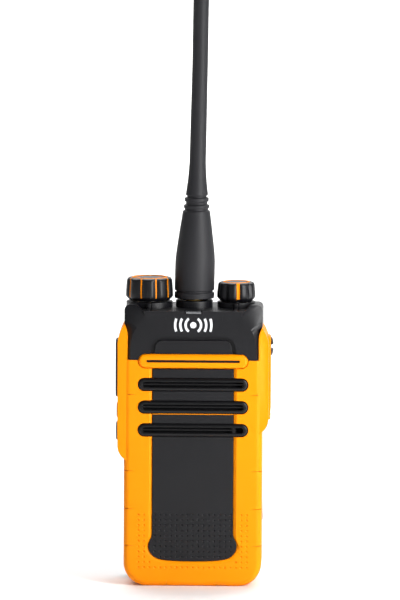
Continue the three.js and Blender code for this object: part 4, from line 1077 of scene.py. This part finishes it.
for side in (-1, 1):
    for row in range(13):
        z = 34.5 + row * 3.6
        x0, x1 = sorted((side * (PACK_HALF - 1.35), side * (PACK_HALF + 3)))
        rib_cut = prism(rounded_box(x0, z - 0.5, x1, z + 0.5, 0.45, 0.45, 4), 12.0, 30)
        shape_with(case, "DIFFERENCE", rib_cut)
room = box_tool((-PACK_HALF + 2.4, PACK_FRONT - 1, 21), (PACK_HALF - 2.4, PACK_BACK - 2.2, 93.6))
shape_with(case, "DIFFERENCE", room)
shape_with(case, "DIFFERENCE", box_tool((-PACK_HALF + 7.2, PACK_FRONT - 1, 4.4), (PACK_HALF - 7.2, 13, 21.1)))
shape_with(case, "DIFFERENCE", box_tool((-14.3, PACK_FRONT - 1, -1), (14.3, 30, 2.1)))
shape_with(case, "DIFFERENCE", box_tool((-8.3, 14.5, 2.6), (8.3, 30, LATCH_TOP)))
shape_with(case, "DIFFERENCE", box_tool((-4, 14.5, -1), (4, 30, 3)))
for z in SCREW_ROWS:
    shape_with(case, "DIFFERENCE", cylinder(1.1, PACK_BACK - 1.8, 30, "y", (0, z), 24))
finished(case, "battery_shell", BLACK, "battery", ["battery_case"])

# A blank rating label of matt foil, stuck into its field.
FOIL = Finish("label_foil", Roughness=0.5, Specular_IOR_Level=0.4)
FOIL.feed("Base Color", FOIL.colours(FOIL.grain(0.004, 3), linear(150, 152, 154), linear(172, 174, 176)))
FOIL.relief(FOIL.grain(0.0007, 2), 0.00002)
foil = prism(rounded_box(-17.3, 26.3, 17.3, 53.7, 1.0, 1.0, 6), PACK_BACK - 0.65, PACK_BACK - 0.5)
finished(body_from(foil), "rating_label", FOIL.material, "battery")

# ---- Battery latch ----
# A sliding latch in the foot of the battery, with four grip ribs. Its tongue holds the radio's lip, and a spring
# above it pushes it down.

latch = round_edges(
    prism(rounded_box(-8, LATCH_LOW.z + 2.4, 8, LATCH_HIGH.z, 0.8, 0.8, 6), LATCH_LOW.y, LATCH_HIGH.y - 0.5),
    0.4,
    edge_at("y", LATCH_HIGH.y - 0.5),
    3,
)
latch = body_from(latch)
for z in (6.3, 8.3, 10.3, 12.3):
    ledge = [(LATCH_HIGH.y - 1, z - 0.9), (LATCH_HIGH.y - 0.02, z + 0.35), (LATCH_HIGH.y - 0.1, z + 0.6)]
    shape_with(latch, "UNION", prism(ledge + [(LATCH_HIGH.y - 1, z + 0.7)], -6.4, 6.4, "x"))
shape_with(latch, "UNION", box_tool((-3.6, PACK_BACK - 1.8, LATCH_LOW.z), (3.6, PACK_BACK - 0.2, LATCH_LOW.z + 3)))
shape_with(latch, "DIFFERENCE", cylinder(1.3, 8.6, 20, "z", (0, 16.3), 32))
soften(latch, 0.12, 2, 40)
finished(latch, "latch_slide", BLACK, "latch", ["battery_latch"])

# ---- Belt clip ----
# A sprung lever on a screwed-on plate: both are nylon mouldings, and the lever turns on a steel pin through the
# plate's ears. Its pad has thumb ribs, its long arm a stiffening channel, and its tip turns in to hold the belt.

PIN_Y = 23.4
PIN_Z = 84.0
PIN_RADIUS = 0.65
CLIP_OUTER = corners_of("clip_lever")[1].y
CLIP_TIP = corners_of("clip_lever")[0].z
LEVER_HALF = 6.4
NYLON = moulded("clip_nylon", linear(34, 34, 37), linear(40, 40, 43), 0.44, 0.0005, 0.00004, Specular_IOR_Level=0.35)

plate = round_edges(
    prism(rounded_box(-8.5, CLIP_LOW.z, 8.5, CLIP_HIGH.z, 2, 2, 8), CLIP_LOW.y, 19.1), 0.4, edge_at("y", 19.1), 3
)
plate = body_from(plate)
ear_line = [
    (18.9, PIN_Z - 6.4),
    *arc((PIN_Y, PIN_Z), 1.6, -50, 50, 10),
    *sweep((PIN_Y + 1.0, PIN_Z + 1.3), (PIN_Y - 1, PIN_Z + 2.6), (20, PIN_Z + 3.5), (18.9, PIN_Z + 5.4), 6),
    (18.9, PIN_Z + 5.4),
]
for side in (-1, 1):
    middle = side * (8.5 - 0.9)
    shape_with(plate, "UNION", prism(ear_line, middle - 0.8, middle + 0.8, "x"))
shape_with(plate, "DIFFERENCE", cylinder(0.95, -10, 10, "x", (PIN_Y, PIN_Z), 32))
for z in SCREW_ROWS:
    shape_with(plate, "DIFFERENCE", cylinder(1.6, 15, 22, "y", (0, z), 32))
    shape_with(plate, "DIFFERENCE", cylinder(3.0, 18.75, 22, "y", (0, z), 40))
soften(plate, 0.18, 2, 40)
finished(plate, "clip_plate", NYLON, "battery", ["clip_bracket"])

BACK_GAP = PACK_BACK + 0.5
arm_line = [
    *arc((PIN_Y + 2.0, CLIP_HIGH.z + 4.0), 0.5, 0, 180, 6)[::-1],
    *sweep((26.0, 94.0), (26.9, 91.0), (CLIP_OUTER, 87.0), (CLIP_OUTER, 80.0), 10),
    (CLIP_OUTER, 80.0),
    (CLIP_OUTER - 0.4, 40.0),
    *sweep((CLIP_OUTER - 0.4, 40.0), (CLIP_OUTER - 0.8, 35.0), (25.2, CLIP_TIP + 1.4), (22.4, CLIP_TIP), 10),
    (22.4, CLIP_TIP),
    *sweep((22.4, CLIP_TIP), (20.8, CLIP_TIP - 0.0), (BACK_GAP + 0.2, CLIP_TIP + 1.2), (BACK_GAP, CLIP_TIP + 3.2), 8),
    *sweep((BACK_GAP, CLIP_TIP + 3.2), (BACK_GAP + 0.4, 35.2), (21.5, 34.8), (23.4, 37.4), 8),
    *sweep((23.4, 37.4), (24.4, 38.8), (24.8, 41.0), (24.8, 43.0), 6),
    (25.2, PIN_Z - 8.0),
    *sweep((25.2, PIN_Z - 8.0), (25.0, PIN_Z - 5.0), (23.0, PIN_Z - 3.4), (21.8, PIN_Z - 2.0), 6),
    *arc((PIN_Y, PIN_Z), 1.9, 215, 120, 8),
    (23.4, PIN_Z + 4.5),
]
arm = prism(arm_line, -LEVER_HALF, LEVER_HALF, "x")
arm = body_from(arm)
outline = [
    (-3.6, CLIP_TIP - 1),
    (3.6, CLIP_TIP - 1),
    *sweep((3.6, CLIP_TIP - 1), (5.6, CLIP_TIP + 1), (LEVER_HALF, CLIP_TIP + 5), (LEVER_HALF, CLIP_TIP + 12), 10),
    (LEVER_HALF, PIN_Z + 6),
    *arc((LEVER_HALF - 3.4, PIN_Z + 7.0), 3.4, 0, 90, 8),
    *arc((-LEVER_HALF + 3.4, PIN_Z + 7.0), 3.4, 90, 180, 8),
    (-LEVER_HALF, CLIP_TIP + 12),
    *[(-x, z) for x, z in sweep((3.6, CLIP_TIP - 1), (5.6, CLIP_TIP + 1), (6.4, CLIP_TIP + 5), (6.4, CLIP_TIP + 12), 10)][:0:-1],
]
shape_with(arm, "INTERSECT", prism(outline, 10, 40))
soften(arm, 0.5, 3, 50)
channel = round_edges(
    prism(rounded_box(-3.9, 40, 3.9, 76, 2.5, 2.5, 10), CLIP_OUTER - 1.0, 40), 0.4, edge_at("y", CLIP_OUTER - 1.0), 3
)
shape_with(arm, "DIFFERENCE", channel)
for z in [85.4 + 1.6 * i for i in range(5)]:
    ridge = prism(rounded_box(-4.6, z - 0.35, 4.6, z + 0.35, 0.33, 0.33, 5), 25.0, CLIP_OUTER - 0.05 - 0.16 * (z - 85.4))
    shape_with(arm, "UNION", round_edges(ridge, 0.15, edge_at("y", CLIP_OUTER - 0.05 - 0.16 * (z - 85.4)), 2))
shape_with(arm, "DIFFERENCE", cylinder(1.0, -10, 10, "x", (PIN_Y, PIN_Z), 32))
shape_with(arm, "DIFFERENCE", prism([(20, 81.2), (25.6, 81.2), (25.6, 86.8), (20, 86.8)], -3.4, 3.4, "x"))
finished(arm, "clip_arm", NYLON, "clip", ["clip_lever"], 40)

STEEL = Finish("steel", Metallic=1.0)
brushed = STEEL.grain(0.0012, 3, (1, 1, 6))
STEEL.feed("Base Color", STEEL.colours(STEEL.grain(0.006, 2), (0.36, 0.37, 0.39), (0.52, 0.53, 0.55)))
STEEL.feed("Roughness", 0.26 + brushed * 0.16)
STEEL.relief(brushed, 0.00001)
pin = cylinder(PIN_RADIUS, -8.45, 8.45, "x", (PIN_Y, PIN_Z), 32)
pin = round_edges(pin, 0.15, lambda e: edge_at("x", 8.45)(e) or edge_at("x", -8.45)(e), 3)
finished(body_from(pin), "clip_pivot_pin", STEEL.material, "battery", ["clip_pin"])

# Torsion spring round the pin: hard-drawn wire, swept along its coils.
COIL_RADIUS = 1.5
WIRE_RADIUS = 0.28
COIL_TURNS = 9
COIL_HALF = 2.7
COIL_STEPS = 24
wire = bmesh.new()
rim = bmesh.ops.create_circle(wire, segments=8, radius=WIRE_RADIUS)["verts"]
onto_start = Matrix.Translation((-COIL_HALF, PIN_Y + COIL_RADIUS, PIN_Z)) @ Matrix.Rotation(0, 4, "X")
bmesh.ops.transform(wire, verts=rim, matrix=onto_start)
bmesh.ops.spin(
    wire,
    geom=wire.verts[:] + wire.edges[:],
    cent=(0, PIN_Y, PIN_Z),
    axis=(1, 0, 0),
    dvec=(2 * COIL_HALF / (COIL_TURNS * COIL_STEPS), 0, 0),
    angle=2 * math.pi * COIL_TURNS,
    steps=COIL_TURNS * COIL_STEPS,
    use_merge=False,
)
bmesh.ops.holes_fill(wire, edges=[e for e in wire.edges if e.is_boundary])
bmesh.ops.recalc_face_normals(wire, faces=wire.faces)
finished(body_from(wire), "clip_coil", STEEL.material, "battery", ["clip_spring"])

# ---- Pieces that keep their own shape ----
# Inside are the speaker, boards, chassis, seals, switches and screws. They are plain stamped, cast, moulded or
# turned pieces, whose built shape is the real one, so each only takes its material here.

BRASS = Finish("brass", Metallic=1.0, Roughness=0.3)
BRASS.feed("Base Color", BRASS.colours(BRASS.grain(0.003, 3), (0.58, 0.4, 0.16), (0.75, 0.55, 0.25)))
BRASS.relief(BRASS.grain(0.0009, 3), 0.00001)

CAST = Finish("cast_alloy", Metallic=1.0)
cast_grain = CAST.grain(0.0011, 4)
CAST.feed("Base Color", CAST.colours(CAST.grain(0.01, 2), (0.42, 0.43, 0.45), (0.56, 0.57, 0.59)))
CAST.feed("Roughness", 0.42 + cast_grain * 0.2)
CAST.relief(cast_grain, 0.00006)

BOARD = Finish("board", Roughness=0.35, Specular_IOR_Level=0.5)
tracks = BOARD.grain(0.0022, 0, (1, 1, 0.25)).above(0.52)
BOARD.feed("Base Color", BOARD.colours(tracks, (0.008, 0.07, 0.03), (0.015, 0.12, 0.05)))
BOARD.relief(tracks, 0.00003)

CLOTH = Finish("speaker_cloth", Roughness=0.9, Specular_IOR_Level=0.2)
THREAD_PITCH = 0.0004
threads = CLOTH.node("ShaderNodeSeparateXYZ", Vector=CLOTH.place)
warp = Wire(CLOTH.tree, threads.outputs["X"]) * (2 * math.pi / THREAD_PITCH)
weft = Wire(CLOTH.tree, threads.outputs["Z"]) * (2 * math.pi / THREAD_PITCH)
weave = 0.5 + warp.maths("SINE", warp) * weft.maths("SINE", weft) * 0.5
CLOTH.feed("Base Color", CLOTH.colours(weave, (0.004, 0.004, 0.005), (0.014, 0.014, 0.016)))
CLOTH.relief(weave, 0.00008)

WRAP = Finish("cell_wrap", Roughness=0.25, Coat_Weight=0.3)
WRAP.feed("Base Color", WRAP.colours(WRAP.grain(0.02, 2), (0.01, 0.06, 0.17), (0.02, 0.09, 0.24)))
WRAP.relief(WRAP.grain(0.004, 3, (1, 1, 0.2)), 0.0001)

SEAL = moulded("seal_rubber", linear(26, 26, 28), linear(34, 34, 36), 0.7, 0.0004, 0.00003)


def painted(material, *names):
    """Gives the CAD nodes with these names a material."""
    for name in names:
        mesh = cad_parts[name].data
        mesh.materials.clear()
        mesh.materials.append(material)


numbered = [f"chassis_screw_{i}" for i in (1, 2, 3, 4)] + ["clip_screw_1", "clip_screw_2"]
painted(STEEL.material, *numbered, "speaker_basket", "speaker_magnet", "microphone", "rf_shield", "latch_spring")
painted(STEEL.material, "channel_shaft", "volume_shaft", "channel_encoder", "volume_switch", "antenna_radiator")
painted(STEEL.material, "ptt_switch", "side_key_1_switch", "side_key_2_switch")
painted(BRASS.material, "channel_nut", "volume_nut", "antenna_connector", "antenna_stud")
painted(BRASS.material, "battery_terminals", "supply_contacts")
painted(CAST.material, "chassis")
painted(BOARD.material, "main_board", "battery_board")
painted(CLOTH.material, "speaker_cloth", "speaker_cone")
painted(WRAP.material, "battery_cell")
painted(SEAL, "perimeter_seal", "microphone_boot", "side_key_seal")
painted(BLACK, "accessory_socket", "battery_lid")

# A black felt behind the slots hides the works and keeps dust off the speaker.
felt = prism(rounded_box(-19.9, 57.2, 19.9, 82.4, 1, 1, 4), FACE + 2.75, FACE + 2.95)
finished(body_from(felt), "grille_felt", CLOTH.material, "root")

# ---- Studio ----
# The radio stands on a plain pale floor with a low round wall. A soft light close by at the right gives the shape,
# a large one at the upper right and one at the left soften it, and one overhead whitens the floor behind.

FLOOR_RADIUS = 6.5
WALL_BEND = 1.0
WALL_TOP = 3.0
WALL_CENTRE = Vector((0, 0, 1.5))


def studio_bowl():
    """Round floor that turns up into a low wall through a wide bend."""
    profile = [(0, 0), (0.5, 0), (1.5, 0), (FLOOR_RADIUS, 0)]
    profile += arc((FLOOR_RADIUS, WALL_BEND), WALL_BEND, -90, 0, 16)[1:]
    bowl = turned(profile + [(FLOOR_RADIUS + WALL_BEND, WALL_TOP)], 96)
    bmesh.ops.reverse_faces(bowl, faces=[f for f in bowl.faces if (WALL_CENTRE - f.calc_center_median()).dot(f.normal) < 0])
    bowl_body = body_from(bowl, "studio_bowl")
    bowl_body.data.shade_smooth()
    paper = Finish("studio_paper", Roughness=0.9, Specular_IOR_Level=0.1)
    paper.feed("Base Color", paper.colours(paper.grain(0.4, 1), (0.92, 0.92, 0.92), (0.94, 0.94, 0.94)))
    bowl_body.data.materials.append(paper.material)


def soft_box(name, power, size, place, aim):
    light = bpy.data.lights.new(name, "AREA")
    light.shape = "RECTANGLE"
    light.size, light.size_y = size
    light.energy = power
    lamp = bpy.data.objects.new(name, light)
    bpy.context.scene.collection.objects.link(lamp)
    lamp.location = place
    lamp.visible_camera = False
    lamp.rotation_euler = (Vector(aim) - Vector(place)).to_track_quat("-Z", "Y").to_euler()


studio_bowl()
MIDDLE = (0.0, 0.0, 0.08)
soft_box("key_light", 6.5, (0.7, 1.1), (1.1, -1.1, 0.95), MIDDLE)
soft_box("near_light", 1.0, (0.12, 0.24), (0.2, -0.2, 0.16), (0.02, 0.0, 0.06))
soft_box("fill_light", 0.6, (0.8, 1.4), (-1.4, -1.0, 0.6), MIDDLE)
soft_box("floor_light", 60.0, (3.0, 2.0), (0.0, 1.3, 2.0), (0.0, 0.9, 0.0))
soft_box("far_light", 150.0, (4.0, 3.0), (0.0, 3.4, 2.4), (0.0, 3.8, 0.0))
sky = bpy.data.worlds.new("sky")
sky.use_nodes = True
sky.node_tree.nodes["Background"].inputs["Color"].default_value = (1, 1, 1, 1)
sky.node_tree.nodes["Background"].inputs["Strength"].default_value = 0.13
bpy.context.scene.world = sky
bpy.context.scene.view_settings.view_transform = "Standard"

CAMERA_AZIMUTH = math.radians(1.2)
CAMERA_ROLL = math.radians(0.26)
CAMERA_RISE = math.radians(6.5)
CAMERA_DISTANCE = 3.0
FRAME_HEIGHT = 0.2328
CAMERA_AIM = Vector((0.00218, 0.0, 0.1097))
SENSOR = 36.0
lens = bpy.data.cameras.new("camera")
lens.sensor_width = SENSOR
lens.lens = SENSOR * CAMERA_DISTANCE / FRAME_HEIGHT
lens.clip_end = 50.0
camera = bpy.data.objects.new("camera", lens)
bpy.context.scene.collection.objects.link(camera)
towards = Vector(
    (
        math.sin(CAMERA_AZIMUTH) * math.cos(CAMERA_RISE),
        -math.cos(CAMERA_AZIMUTH) * math.cos(CAMERA_RISE),
        math.sin(CAMERA_RISE),
    )
)
camera.location = CAMERA_AIM + CAMERA_DISTANCE * towards
turn = (-towards).to_track_quat("-Z", "Y") @ Quaternion((0, 0, 1), CAMERA_ROLL)
camera.rotation_euler = turn.to_euler()
bpy.context.scene.camera = camera
